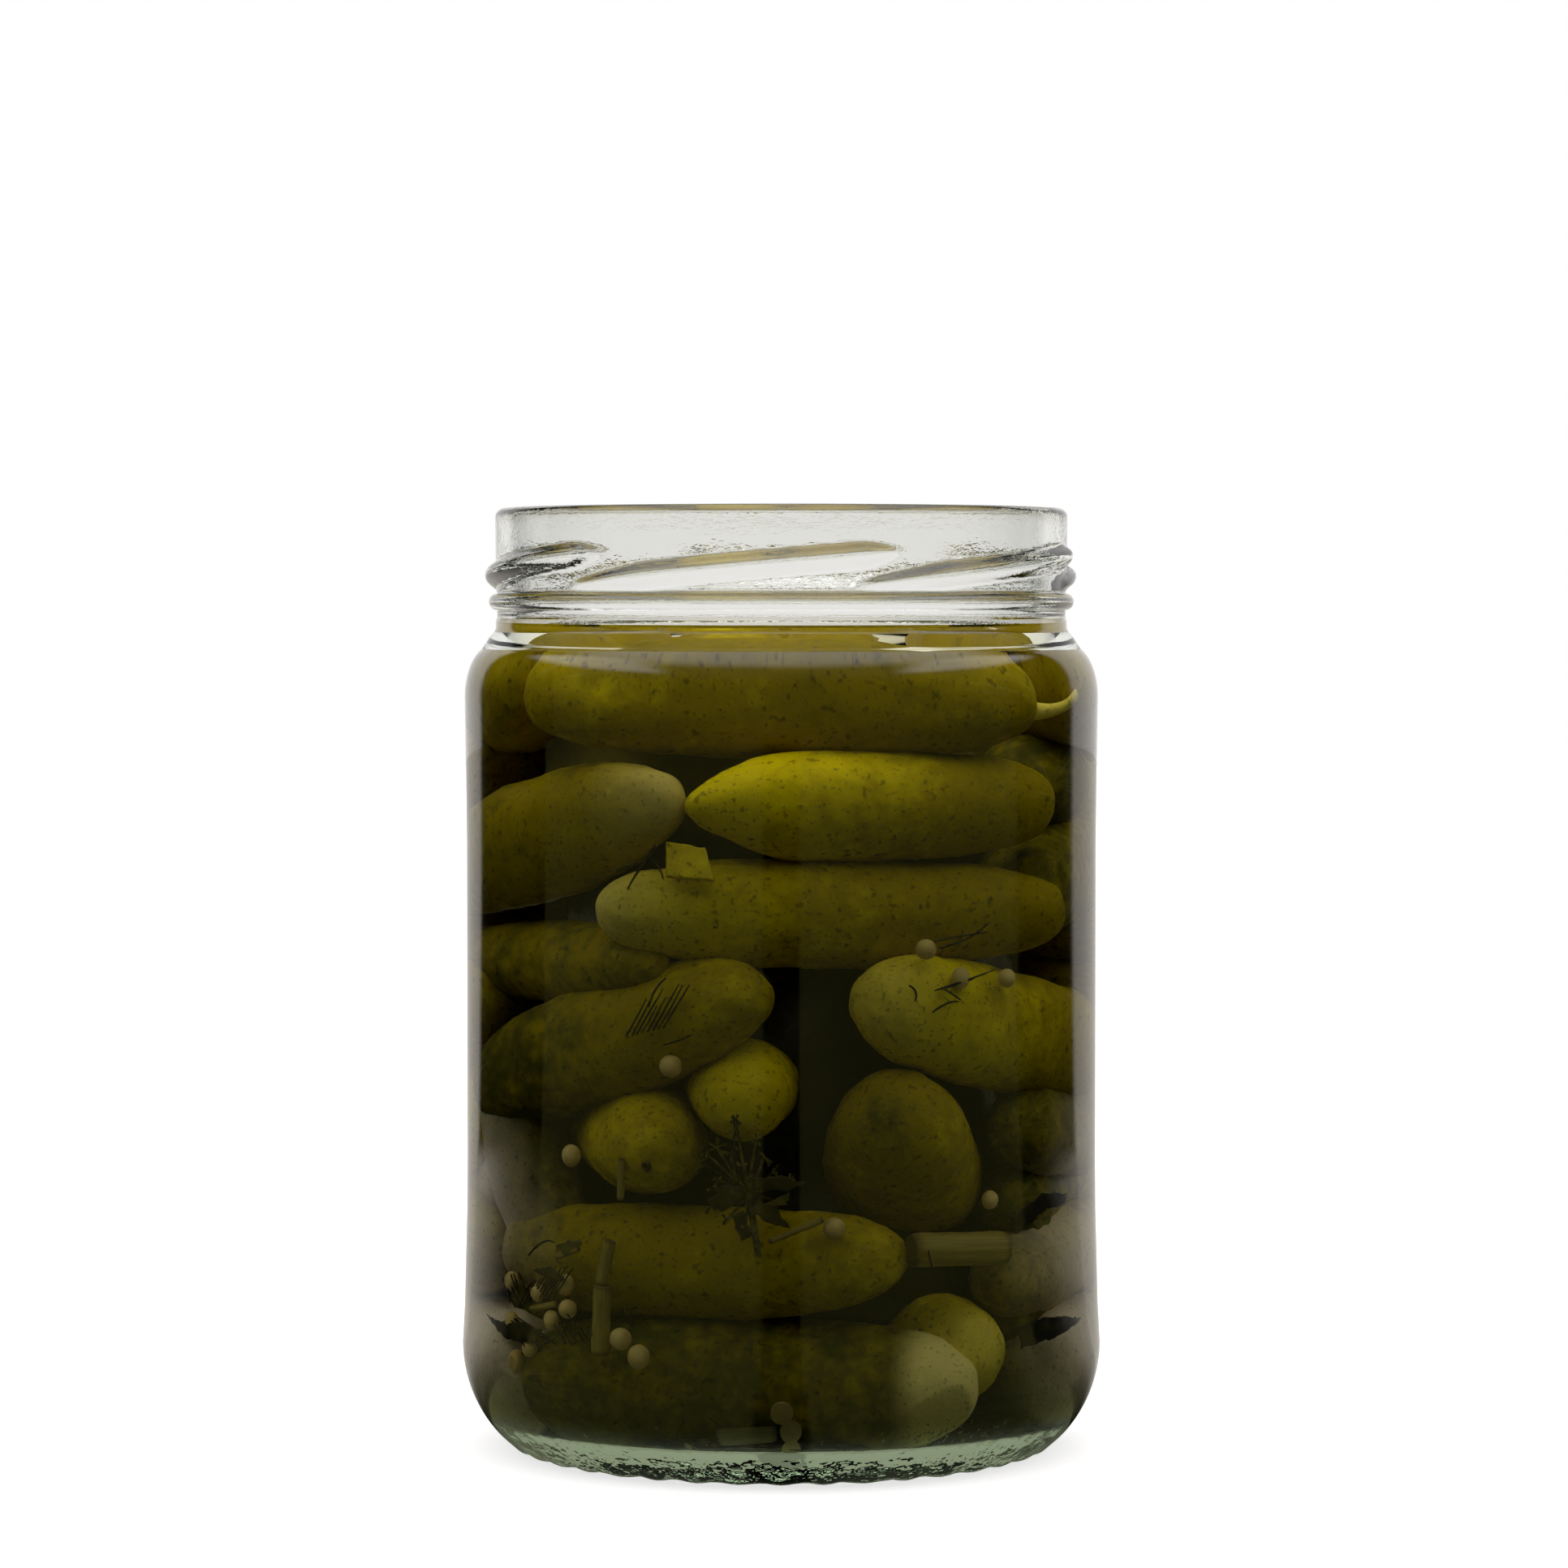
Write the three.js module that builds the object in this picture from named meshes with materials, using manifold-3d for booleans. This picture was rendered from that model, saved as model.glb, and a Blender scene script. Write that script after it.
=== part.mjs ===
// An open twist-off preserving jar packed with small gherkins, mustard seeds and dill stalks.
// Millimetres, +Z up. The origin is the centre of the ring that the jar stands on, and angles
// round the jar are measured from the front (-Y) towards the right (+X).
import * as THREE from 'three';
import { mergeVertices } from 'three/addons/utils/BufferGeometryUtils.js';
import Module from 'manifold-3d';

const wasm = await Module();
wasm.setup();

// The glass: a straight body on a round heel, a short shoulder and an 82 mm finish
const HEIGHT = 130;
const BODY_RADIUS = 43.6;
const BAND_RADIUS = 43.85;
const BULGE_RADIUS = 44.3;
const BULGE_HEIGHT = 14.5;
const HEEL_ROUND = 18;
const HEEL_TURN = 50;
const FOOT_WIDTH = 2.2;
const PUSH_UP = 1.6;
const SHOULDER_HEIGHT = 104;
const SHOULDER_RISE = 7.2;
const SHOULDER_RUN = 4;
const NECK_RADIUS = 39.6;
const COLLAR_RADIUS = 39.35;
const COLLAR_HEIGHT = 113.4;
const BEAD_HEIGHT = 117.1;
const BEAD_ROUND = 1.15;
const MOUTH_RADIUS = 37.1;
const CAVITY_RADIUS = 41.4;
const CAVITY_HEEL = 13;
const FLOOR_HEIGHT = 4.6;
const FLOOR_CROWN = 0.6;
const JAR_SEGMENTS = 56;

// The thread: six tapered lugs, each rising to the right over a little more than its pitch
const LUG_COUNT = 6;
const LUG_START = -44.5;
const LUG_SWEEP = 67.5;
const LUG_LOW = 119.2;
const LUG_HIGH = 123.8;
const LUG_PROUD = 1.55;
const LUG_ROOT = 0.7;
const LUG_ABOVE = 1.5;
const LUG_BELOW = 1.9;

// The contents
const CLEARANCE = 0.35;
const HEAP_TOP = 112.6;
const CORE_RADIUS = 24.5;
const CORE_ROUND = 8;
const CORE_TOP = 104;
const SEED_RADIUS = 1.55;
const GHERKIN_SIDES = 10;
const HIDDEN_SIDES = 9;
const GHERKIN_RINGS = 7;
const SEED_SIDES = 6;
const SEED_RINGS = 4;

// The gherkins that show from the front, row by row from the top. Each runs between the centres
// of its two round ends, given as an angle round the jar and a height. bow pushes the middle
// out towards the glass, sag lowers it, depth moves the whole piece in from the glass, and taper
// narrows the end at from. fromReach and toReach are how far an end lies from the jar's axis,
// where it isn't against the glass.
const FRONT_GHERKINS = [
  { from: [-48.5, 104.3], to: [48, 103.4], girth: 7.7, bow: 3 },
  { from: [-76, 103.4], to: [-150, 103], girth: 7.6 },
  { from: [-31, 89.8], to: [-103, 80.5], girth: 8.1, bow: 3 },
  { from: [-9, 90.2], to: [55, 89.8], girth: 7.4, bow: 1, taper: 0.5 },
  { from: [80, 92], to: [146, 91], girth: 7.2, depth: 5, taper: 0.3 },
  { from: [-29.5, 76.2], to: [60, 75.4], girth: 7.3, bow: 3 },
  { from: [69, 78.6], to: [124, 83], girth: 7.6, depth: 1.5 },
  { from: [-96, 67.4], to: [-33, 69], girth: 5.6, depth: 2.6 },
  { from: [-13.5, 63.6], to: [-74, 52], girth: 7.8, bow: 1 },
  { from: [28, 63], to: [87, 55.6], girth: 8.4, bow: 1 },
  { from: [-29, 44.8], to: [-107, 46.5], toReach: 16.8, girth: 8 },
  { from: [-8.5, 51.4], to: [-38.6, 55], toReach: 6.4, girth: 7, depth: 1 },
  { from: [27.5, 46.4], to: [52, 38.5], toReach: 18, girth: 9.3, depth: 0.4 },
  { from: [66, 45.5], to: [116, 43], girth: 6.9, depth: 2 },
  { from: [-76, 47], to: [-60, 31.5], girth: 6.4, depth: 2.5 },
  { from: [-57, 29.6], to: [14.7, 30.4], girth: 7.7, sag: 1.2, taper: 0.15 },
  { from: [59, 25.6], to: [118, 27], girth: 6.6, depth: 2.5 },
  { from: [-50, 12.9], to: [32, 13], girth: 8.3, depth: 0.5 },
  { from: [41, 16.4], to: [66, 14], toReach: 12, girth: 7.4, depth: 4 },
  { from: [74, 12.8], to: [124, 13], girth: 7.4, depth: 3.5 },
  { from: [-66, 12.8], to: [-122, 13.2], girth: 7.6, depth: 0.8 },
];

// The ones behind them, layer by layer, each as two angles and two heights
const BACK_GHERKINS = [
  [82, 152, 104, 103.4],
  [-112, -176, 93, 89],
  [-112, -168, 79, 75],
  [178, 118, 74.5, 72],
  [-92, -150, 61, 58],
  [-168, 110, 59, 60],
  [-98, -150, 45, 42],
  [176, 130, 43, 45],
  [-82, -140, 29, 27],
  [-162, 142, 28, 29],
  [-148, 144, 13, 13],
];
const BACK_GIRTH = 7.9;
const BACK_BOW = 2;

// Two more lie side by side across the middle of the top, from near the front to the back
const TOP_GHERKINS = [
  { from: [-26, 104.6], to: [-162, 103.8], fromReach: 17, toReach: 27, girth: 7.6 },
  { from: [30, 104], to: [163, 104.6], fromReach: 17, toReach: 27.5, girth: 7.8 },
];
const TAPER_LENGTH = 0.3;

// Mustard seeds, each at an angle and a height, where it lies on the outside of the heap
const SEEDS = [
  [-62, 26.5], [-50, 23.4], [-44, 21.2], [-47, 19.5], [-64, 19.4], [-55, 17.2], [-42, 45],
  [-32, 17.6], [-28, 15.2], [0, 9], [2.5, 7], [34, 38.4], [10, 33.6], [27, 71.3], [35, 67.6],
  [-20, 55.6], [46, 68],
];

// Cut dill stalks, each from one angle and height to another
const STALKS = [
  { from: [28, 31], to: [44, 30.4], girth: 2.1, depth: 5 },
  { from: [-36, 33.6], to: [-36.5, 20.4], girth: 1.5, depth: 3 },
];

// A point at an angle round the jar, a distance from its axis and a height
function polar(angle, distance, height) {
  const turn = THREE.MathUtils.degToRad(angle);
  return new THREE.Vector3(distance * Math.sin(turn), -distance * Math.cos(turn), height);
}

// Points along part of an ellipse in the outline's radius and height
function arc(radius, height, wide, tall, fromDegrees, toDegrees, steps) {
  const from = THREE.MathUtils.degToRad(fromDegrees);
  const to = THREE.MathUtils.degToRad(toDegrees);
  const curve = new THREE.EllipseCurve(radius, height, wide, tall, from, to, to < from);
  return curve.getPoints(steps);
}

// The outside of the glass, from the axis under the base up to the rim
function outsideOutline() {
  const heelRadius = BULGE_RADIUS - HEEL_ROUND;
  const turn = THREE.MathUtils.degToRad(HEEL_TURN);
  const meetHeight = BULGE_HEIGHT - HEEL_ROUND * Math.sin(turn);
  const footRound = meetHeight / (1 - Math.sin(turn));
  const footRadius = heelRadius + (HEEL_ROUND - footRound) * Math.cos(turn);
  const inFoot = footRadius - FOOT_WIDTH;
  const rimRound = (NECK_RADIUS - MOUTH_RADIUS) / 2;
  return [
    new THREE.Vector2(0, PUSH_UP),
    new THREE.Vector2(inFoot - 6, PUSH_UP * 0.8),
    new THREE.Vector2(inFoot, 0),
    ...arc(footRadius, footRound, footRound, footRound, -90, -HEEL_TURN, 2),
    ...arc(heelRadius, BULGE_HEIGHT, HEEL_ROUND, HEEL_ROUND, -HEEL_TURN, 0, 4).slice(1),
    new THREE.Vector2(BAND_RADIUS, 26),
    new THREE.Vector2(BODY_RADIUS, 40),
    new THREE.Vector2(BODY_RADIUS, 84),
    ...arc(BAND_RADIUS - SHOULDER_RUN, SHOULDER_HEIGHT, SHOULDER_RUN, SHOULDER_RISE, 0, 66, 4),
    new THREE.Vector2(COLLAR_RADIUS + 1, COLLAR_HEIGHT - 1.1),
    new THREE.Vector2(COLLAR_RADIUS + 0.2, COLLAR_HEIGHT),
    ...arc(COLLAR_RADIUS, BEAD_HEIGHT, BEAD_ROUND, BEAD_ROUND, -90, 90, 4),
    new THREE.Vector2(NECK_RADIUS, BEAD_HEIGHT + 9),
    ...arc(NECK_RADIUS - rimRound, HEIGHT - rimRound, rimRound, rimRound, 0, 90, 2),
  ];
}

// The inside of the glass, from the rim down to the middle of the floor
function insideOutline() {
  const rimRound = (NECK_RADIUS - MOUTH_RADIUS) / 2;
  const shoulderRun = CAVITY_RADIUS - MOUTH_RADIUS;
  return [
    ...arc(MOUTH_RADIUS + rimRound, HEIGHT - rimRound, rimRound, rimRound, 90, 180, 2),
    new THREE.Vector2(MOUTH_RADIUS, COLLAR_HEIGHT),
    ...arc(MOUTH_RADIUS, SHOULDER_HEIGHT, shoulderRun, SHOULDER_RISE, 62, 0, 3),
    ...arc(CAVITY_RADIUS - CAVITY_HEEL, FLOOR_HEIGHT + CAVITY_HEEL, CAVITY_HEEL, CAVITY_HEEL,
      0, -90, 4),
    new THREE.Vector2(0, FLOOR_HEIGHT + FLOOR_CROWN),
  ];
}

// The inside radius of the glass at a height
function cavityRadius(height) {
  const wall = insideOutline().filter((point) => point.x > 0).reverse();
  const above = wall.findIndex((point) => point.y > height);
  if (above < 0) return MOUTH_RADIUS;
  if (above === 0) return wall[0].x;
  const low = wall[above - 1];
  const high = wall[above];
  return THREE.MathUtils.mapLinear(height, low.y, high.y, low.x, high.x);
}

// Moves a point of the contents clear of the floor, the wall and the brine's surface
function keepInside(point) {
  const floor = FLOOR_HEIGHT + FLOOR_CROWN + CLEARANCE;
  point.z = THREE.MathUtils.clamp(point.z, floor, HEAP_TOP);
  const limit = cavityRadius(point.z - CLEARANCE) - CLEARANCE;
  const top = cavityRadius(point.z + CLEARANCE) - CLEARANCE;
  const reach = Math.hypot(point.x, point.y);
  const scale = Math.min(1, Math.min(limit, top) / reach);
  point.x *= scale;
  point.y *= scale;
  return point;
}

// A closed three.js geometry as a solid that can be joined
function toSolid(geometry) {
  const bare = geometry.clone();
  bare.deleteAttribute('normal');
  bare.deleteAttribute('uv');
  const merged = mergeVertices(bare, 1e-4);
  const index = merged.getIndex().array;
  const triVerts = [];
  for (let i = 0; i < index.length; i += 3) {
    const [a, b, c] = [index[i], index[i + 1], index[i + 2]];
    if (a !== b && b !== c && c !== a) triVerts.push(a, b, c);
  }
  const vertProperties = new Float32Array(merged.getAttribute('position').array);
  return new wasm.Manifold(new wasm.Mesh({
    numProp: 3,
    vertProperties,
    triVerts: new Uint32Array(triVerts),
  }));
}

// A solid as a named mesh
function toMesh(name, solid, material) {
  const { vertProperties, triVerts, numProp } = solid.getMesh();
  const geometry = new THREE.BufferGeometry();
  const positions = new THREE.InterleavedBuffer(vertProperties, numProp);
  geometry.setAttribute('position', new THREE.InterleavedBufferAttribute(positions, 3, 0));
  geometry.setIndex(new THREE.BufferAttribute(triVerts, 1));
  const mesh = new THREE.Mesh(geometry, material);
  mesh.name = name;
  return mesh;
}

// One lug of the thread: a closed tube laid round the neck, thin at both ends
function lug(startAngle) {
  const geometry = new THREE.CylinderGeometry(1, 1, 1, 8, 9);
  const place = geometry.getAttribute('position');
  for (let i = 0; i < place.count; i += 1) {
    const along = place.getY(i) + 0.5;
    const swell = Math.min(1, 0.25 + 3 * along, 0.25 + 8 * (1 - along));
    const out = Math.max(-LUG_ROOT, place.getX(i) * LUG_PROUD * swell);
    const side = place.getZ(i);
    const spread = (side > 0 ? LUG_BELOW : LUG_ABOVE) * swell;
    const rise = THREE.MathUtils.lerp(LUG_LOW, LUG_HIGH, along ** 0.8);
    const angle = startAngle + LUG_SWEEP * along;
    const point = polar(angle, NECK_RADIUS + out, rise - side * spread);
    place.setXYZ(i, point.x, point.y, point.z);
  }
  return toSolid(geometry);
}

// The glass: one turned body with its lugs
function jarGlass() {
  const outline = [...outsideOutline(), ...insideOutline().slice(1)];
  const turned = new THREE.LatheGeometry(outline, JAR_SEGMENTS);
  turned.rotateX(Math.PI / 2);
  let glass = toSolid(turned);
  for (let k = 0; k < LUG_COUNT; k += 1) {
    glass = glass.add(lug(LUG_START + (k * 360) / LUG_COUNT));
  }
  return glass;
}

// A closed body along a curve, made from a sphere: its poles go to the curve's two ends
function bodyAlong(spine, sides, rings, girth, bluntness, taper = 0) {
  const geometry = new THREE.SphereGeometry(1, sides, rings);
  const place = geometry.getAttribute('position');
  const chord = new THREE.Vector3().subVectors(spine.getPoint(1), spine.getPoint(0)).normalize();
  const level = Math.abs(chord.z) < 0.7;
  const reference = level ? new THREE.Vector3(0, 0, 1) : new THREE.Vector3(0, 1, 0);
  for (let i = 0; i < place.count; i += 1) {
    const pole = THREE.MathUtils.clamp(place.getY(i), -1, 1);
    const shifted = Math.sign(pole) * Math.abs(pole) ** (2 / bluntness);
    const around = Math.atan2(place.getZ(i), place.getX(i));
    const along = (1 - shifted) / 2;
    const narrow = 1 - taper * Math.max(0, 1 - along / TAPER_LENGTH) ** 2;
    const round = Math.max(0, 1 - Math.abs(shifted) ** bluntness) ** (1 / bluntness);
    const radius = girth * round * narrow;
    const tangent = spine.getTangent(along);
    const side = new THREE.Vector3().crossVectors(tangent, reference).normalize();
    const up = new THREE.Vector3().crossVectors(tangent, side);
    const point = spine.getPoint(along);
    point.addScaledVector(side, radius * Math.cos(around));
    point.addScaledVector(up, radius * Math.sin(around));
    keepInside(point);
    place.setXYZ(i, point.x, point.y, point.z);
  }
  return geometry;
}

// The curve of a gherkin or a stalk, lengthened by its girth past the centres of its ends
function spineOf({ from, to, girth, bow = 0, sag = 0, depth = 0, fromReach, toReach }) {
  const reach = CAVITY_RADIUS - CLEARANCE - girth - depth;
  const first = polar(from[0], fromReach ?? reach, from[1]);
  const last = polar(to[0], toReach ?? reach, to[1]);
  const chord = new THREE.Vector3().subVectors(last, first).normalize();
  first.addScaledVector(chord, -girth);
  last.addScaledVector(chord, girth);
  const middle = new THREE.Vector3().addVectors(first, last).multiplyScalar(0.5);
  const outward = new THREE.Vector3(middle.x, middle.y, 0).normalize();
  middle.addScaledVector(outward, 2 * bow);
  middle.z -= 2 * sag;
  return new THREE.QuadraticBezierCurve3(first, middle, last);
}

// Every gherkin of the heap
function allGherkins() {
  const behind = BACK_GHERKINS.map(([first, last, low, high]) => ({
    from: [first, low],
    to: [last, high],
    girth: BACK_GIRTH,
    bow: BACK_BOW,
    sides: HIDDEN_SIDES,
  }));
  return [...FRONT_GHERKINS, ...behind, ...TOP_GHERKINS];
}

// A seed set half into the outside of the heap at an angle and a height
function seedOn(target, [angle, height]) {
  const from = polar(angle, CAVITY_RADIUS, height);
  const inward = polar(angle, -1, 0);
  const hits = new THREE.Raycaster(from, inward).intersectObjects(target);
  const centre = hits[0].point.addScaledVector(inward, -SEED_RADIUS * 0.55);
  const geometry = new THREE.SphereGeometry(SEED_RADIUS, SEED_SIDES, SEED_RINGS);
  const place = geometry.getAttribute('position');
  for (let i = 0; i < place.count; i += 1) {
    const point = keepInside(new THREE.Vector3().fromBufferAttribute(place, i).add(centre));
    place.setXYZ(i, point.x, point.y, point.z);
  }
  return geometry;
}

// The core that fills the middle of the heap, under the gherkins that lie across its top
function heapCore() {
  const low = FLOOR_HEIGHT + FLOOR_CROWN + CLEARANCE;
  const edge = CORE_RADIUS - CORE_ROUND;
  const outline = [
    new THREE.Vector2(0, low),
    ...arc(edge, low + CORE_ROUND, CORE_ROUND, CORE_ROUND, -90, 0, 3),
    ...arc(edge, CORE_TOP - CORE_ROUND, CORE_ROUND, CORE_ROUND, 0, 90, 3),
    new THREE.Vector2(0, CORE_TOP),
  ];
  const core = new THREE.LatheGeometry(outline, 20);
  core.rotateX(Math.PI / 2);
  return core;
}

// The contents: core, gherkins, stalks and seeds as one body
function gherkinHeap() {
  const pieces = allGherkins().map((piece) => {
    const sides = piece.sides ?? GHERKIN_SIDES;
    return bodyAlong(spineOf(piece), sides, GHERKIN_RINGS, piece.girth, 2.6, piece.taper);
  });
  const stalks = STALKS.map((stalk) => bodyAlong(spineOf(stalk), 8, 6, stalk.girth, 6));
  const lyingOn = [heapCore(), ...pieces].map((piece) => new THREE.Mesh(piece));
  const seeds = SEEDS.map((seed) => seedOn(lyingOn, seed));
  const shapes = [...pieces, ...stalks, ...seeds].map(toSolid);
  return shapes.reduce((heap, shape) => heap.add(shape), toSolid(heapCore()));
}

const clearGlass = new THREE.MeshStandardMaterial({
  color: 0xcfdcd2,
  roughness: 0.05,
  metalness: 0,
});
const gherkinSkin = new THREE.MeshStandardMaterial({
  color: 0x6a5f0e,
  roughness: 0.45,
  metalness: 0,
});

const jar = new THREE.Group();
jar.add(toMesh('jar_glass', jarGlass(), clearGlass));
jar.add(toMesh('gherkin_heap', gherkinHeap(), gherkinSkin));

export default jar;
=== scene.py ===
"""An open twist-off preserving jar of pickled gherkins in brine, dressed over its CAD frame.

Sizes are in metres and angles round the jar are in degrees from the front (-Y) to the right (+X).
"""
import math
import random

import bpy
import numpy as np
from bpy.props import FloatProperty, FloatVectorProperty, IntProperty, PointerProperty
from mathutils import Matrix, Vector, noise


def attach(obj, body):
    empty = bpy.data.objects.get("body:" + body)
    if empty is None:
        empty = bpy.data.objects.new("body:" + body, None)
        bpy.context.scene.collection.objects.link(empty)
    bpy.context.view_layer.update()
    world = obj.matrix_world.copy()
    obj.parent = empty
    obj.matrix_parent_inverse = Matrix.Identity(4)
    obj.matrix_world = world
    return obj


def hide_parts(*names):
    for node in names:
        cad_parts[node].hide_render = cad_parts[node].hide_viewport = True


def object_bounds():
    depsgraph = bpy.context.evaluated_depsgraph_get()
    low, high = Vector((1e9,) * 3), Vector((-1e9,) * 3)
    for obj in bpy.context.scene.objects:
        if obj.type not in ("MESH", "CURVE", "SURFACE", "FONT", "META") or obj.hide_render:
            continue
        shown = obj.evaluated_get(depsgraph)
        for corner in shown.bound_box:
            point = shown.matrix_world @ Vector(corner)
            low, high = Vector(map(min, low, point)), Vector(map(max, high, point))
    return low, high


bl_info = {
    "name": "Gherkin Jar",
    "version": (1, 0, 0),
    "blender": (4, 5, 0),
    "location": "View3D > Sidebar > Gherkin Jar",
    "description": "Dresses the frame of an open preserving jar packed with pickled gherkins",
    "category": "Object",
}

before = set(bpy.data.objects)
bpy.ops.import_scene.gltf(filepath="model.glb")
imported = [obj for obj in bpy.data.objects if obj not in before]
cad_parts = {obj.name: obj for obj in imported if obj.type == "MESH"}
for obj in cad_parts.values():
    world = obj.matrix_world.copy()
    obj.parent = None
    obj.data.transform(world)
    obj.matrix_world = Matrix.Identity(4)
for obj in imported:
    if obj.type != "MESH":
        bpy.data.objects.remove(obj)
CAD_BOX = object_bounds()
MM = 0.001

# The glass, from the frame's own size and the same named sizes as its solid
HEIGHT = CAD_BOX[1][2]
BULGE_RADIUS = CAD_BOX[1][0]
BODY_RADIUS = 43.6 * MM
BAND_RADIUS = 43.85 * MM
BULGE_HEIGHT = 14.5 * MM
HEEL_ROUND = 18 * MM
HEEL_TURN = 50
FOOT_WIDTH = 2.2 * MM
PUSH_UP = 1.6 * MM
SHOULDER_HEIGHT = 104 * MM
SHOULDER_RISE = 7.2 * MM
SHOULDER_RUN = 4 * MM
NECK_RADIUS = 39.6 * MM
COLLAR_RADIUS = 39.35 * MM
COLLAR_HEIGHT = 113.4 * MM
BEAD_HEIGHT = 117.1 * MM
BEAD_ROUND = 1.15 * MM
MOUTH_RADIUS = 37.1 * MM
CAVITY_RADIUS = 41.4 * MM
CAVITY_HEEL = 13 * MM
FLOOR_HEIGHT = 4.6 * MM
FLOOR_CROWN = 0.6 * MM
TURN_STEPS = 240
MERGE = 0.002 * MM

# How much each clear surface bends light
GLASS_BEND = 1.5
BRINE_BEND = 1.333

# The fine stipple of the glass at the foot and the faint waves of its neck
STIPPLE_SCALE = 480
STIPPLE_EDGE = (3.0 * MM, 5.5 * MM)
WAVE_SCALE = 160
WAVE_STRETCH = (1, 1, 2.2)
WAVE_EDGE = (112 * MM, 118 * MM)
WAVE_SHARE = 0.17

# The thread's lugs
LUG_COUNT = 6
LUG_START = -44.5
LUG_SWEEP = 67.5
LUG_LOW = 119.2 * MM
LUG_HIGH = 123.8 * MM
LUG_PROUD = 1.5 * MM
LUG_ABOVE = 1.5 * MM
LUG_BELOW = 1.9 * MM
LUG_ROW = 0.35 * MM

# The hollows between the knurls round the foot
KNURLS = 40
KNURL_DEPTH = 0.4 * MM
KNURL_REACH = 3 * MM

# The contents
CLEARANCE = 0.35 * MM
HEAP_TOP = 112.6 * MM
BRINE_OVERLAP = 0.12 * MM
MENISCUS = [(0, 0.5 * MM), (0.5 * MM, 0.22 * MM), (1.2 * MM, 0.06 * MM), (2.4 * MM, 0)]

# How finely a gherkin is made, how much less finely where it is hidden, how blunt its ends are,
# how uneven its girth is, and its bumps, each kind as a width and a height
GHERKIN_STEPS = (96, 72)
HIDDEN_DETAIL = 0.6
GHERKIN_BLUNTNESS = 2.6
GHERKIN_UNEVEN = 0.05
GHERKIN_BUMPS = ((9 * MM, 0.5 * MM), (3.2 * MM, 0.24 * MM), (1.5 * MM, 0.1 * MM))

# The skin: how long a pale end is, as a share of the gherkin, how strong the pale lines are, and
# where the painted reflection lies, a grey reflection of the glass painted onto the skin low at the
# jar's sides: angles at which it starts for some heights in millimetres, how gently it rises, the
# angle at which it ends and the height under which it stays
PALE_LENGTH = 0.22
LINE_SHARE = 0.055
BLOOM_START = ((8, 30, 50), (50, 45, 66))
BLOOM_RISE = 26
BLOOM_END = 112
BLOOM_TOP = 52
GRAIN_BROWN = (0.07, 0.055, 0.004)
SPOT_BROWN = (0.03, 0.024, 0.003)
SKIN_COARSE = (170, 900)
SKIN_FINE = (480, 1500)
COARSE_REACH = 0.10
FINE_REACH = 0.085
SPECK_EDGE = (0.6, 0.72)
SPECK_RELIEF = 0.35

# The soaked herbs and crumbs: the dark and the pale colour of each, and its blotches' scale
HERBS = {
    "Dark dill": ((0.009, 0.007, 0.001), (0.055, 0.04, 0.007), 500),
    "Dill flower": ((0.045, 0.036, 0.004), (0.19, 0.155, 0.018), 420),
    "Blossom end": ((0.02, 0.01, 0.002), (0.10, 0.06, 0.01), 900),
    # The crumbs' pale colour is partly real crumbs and partly painted glints of the glass at the
    # foot
    "Crumbs": ((0.07, 0.06, 0.008), (0.36, 0.33, 0.10), 900),
    # The bed is painted shade: a dark sheet where the floor would show between the gherkins
    "Soaked bed": ((0.015, 0.011, 0.002), (0.075, 0.055, 0.01), 300),
}
LEAF_BLACK = (0.004, 0.002, 0.0005)
LEAF_GREEN = (0.20, 0.17, 0.02)
LEAF_BLOTCHES = 350

# Other pairs of colours that a material runs between, and a stalk's cut ends
SEED_COAT = ((0.52, 0.36, 0.07), (0.82, 0.66, 0.22))
STALK_BODY = ((0.27, 0.205, 0.03), (0.36, 0.285, 0.05))
STALK_CUT = (0.10, 0.066, 0.012)
# The hidden core's painted shade between the gherkins, its painted light at the top, and the
# heights where the painted light comes in
CORE_DEEP = ((0.006, 0.005, 0.001), (0.03, 0.025, 0.003))
CORE_OPEN = ((0.08, 0.065, 0.004), (0.24, 0.2, 0.01))
CORE_OPEN_EDGE = (84 * MM, 94 * MM)

# How skin, seeds and herbs shine in brine
SKIN_GLOSS = {"IOR": 1.36, "Specular IOR Level": 0.03}
SEED_GLOSS = {"IOR": 1.36}
HERB_GLOSS = {"Specular IOR Level": 0.2}

# The hidden core: how round its edges are, how far it stays below the top, and its bumps
CORE_ROUND = 8 * MM
CORE_BELOW_TOP = 5 * MM
CORE_BUMPS = ((14 * MM, 4 * MM), (5 * MM, 1.2 * MM))
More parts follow.
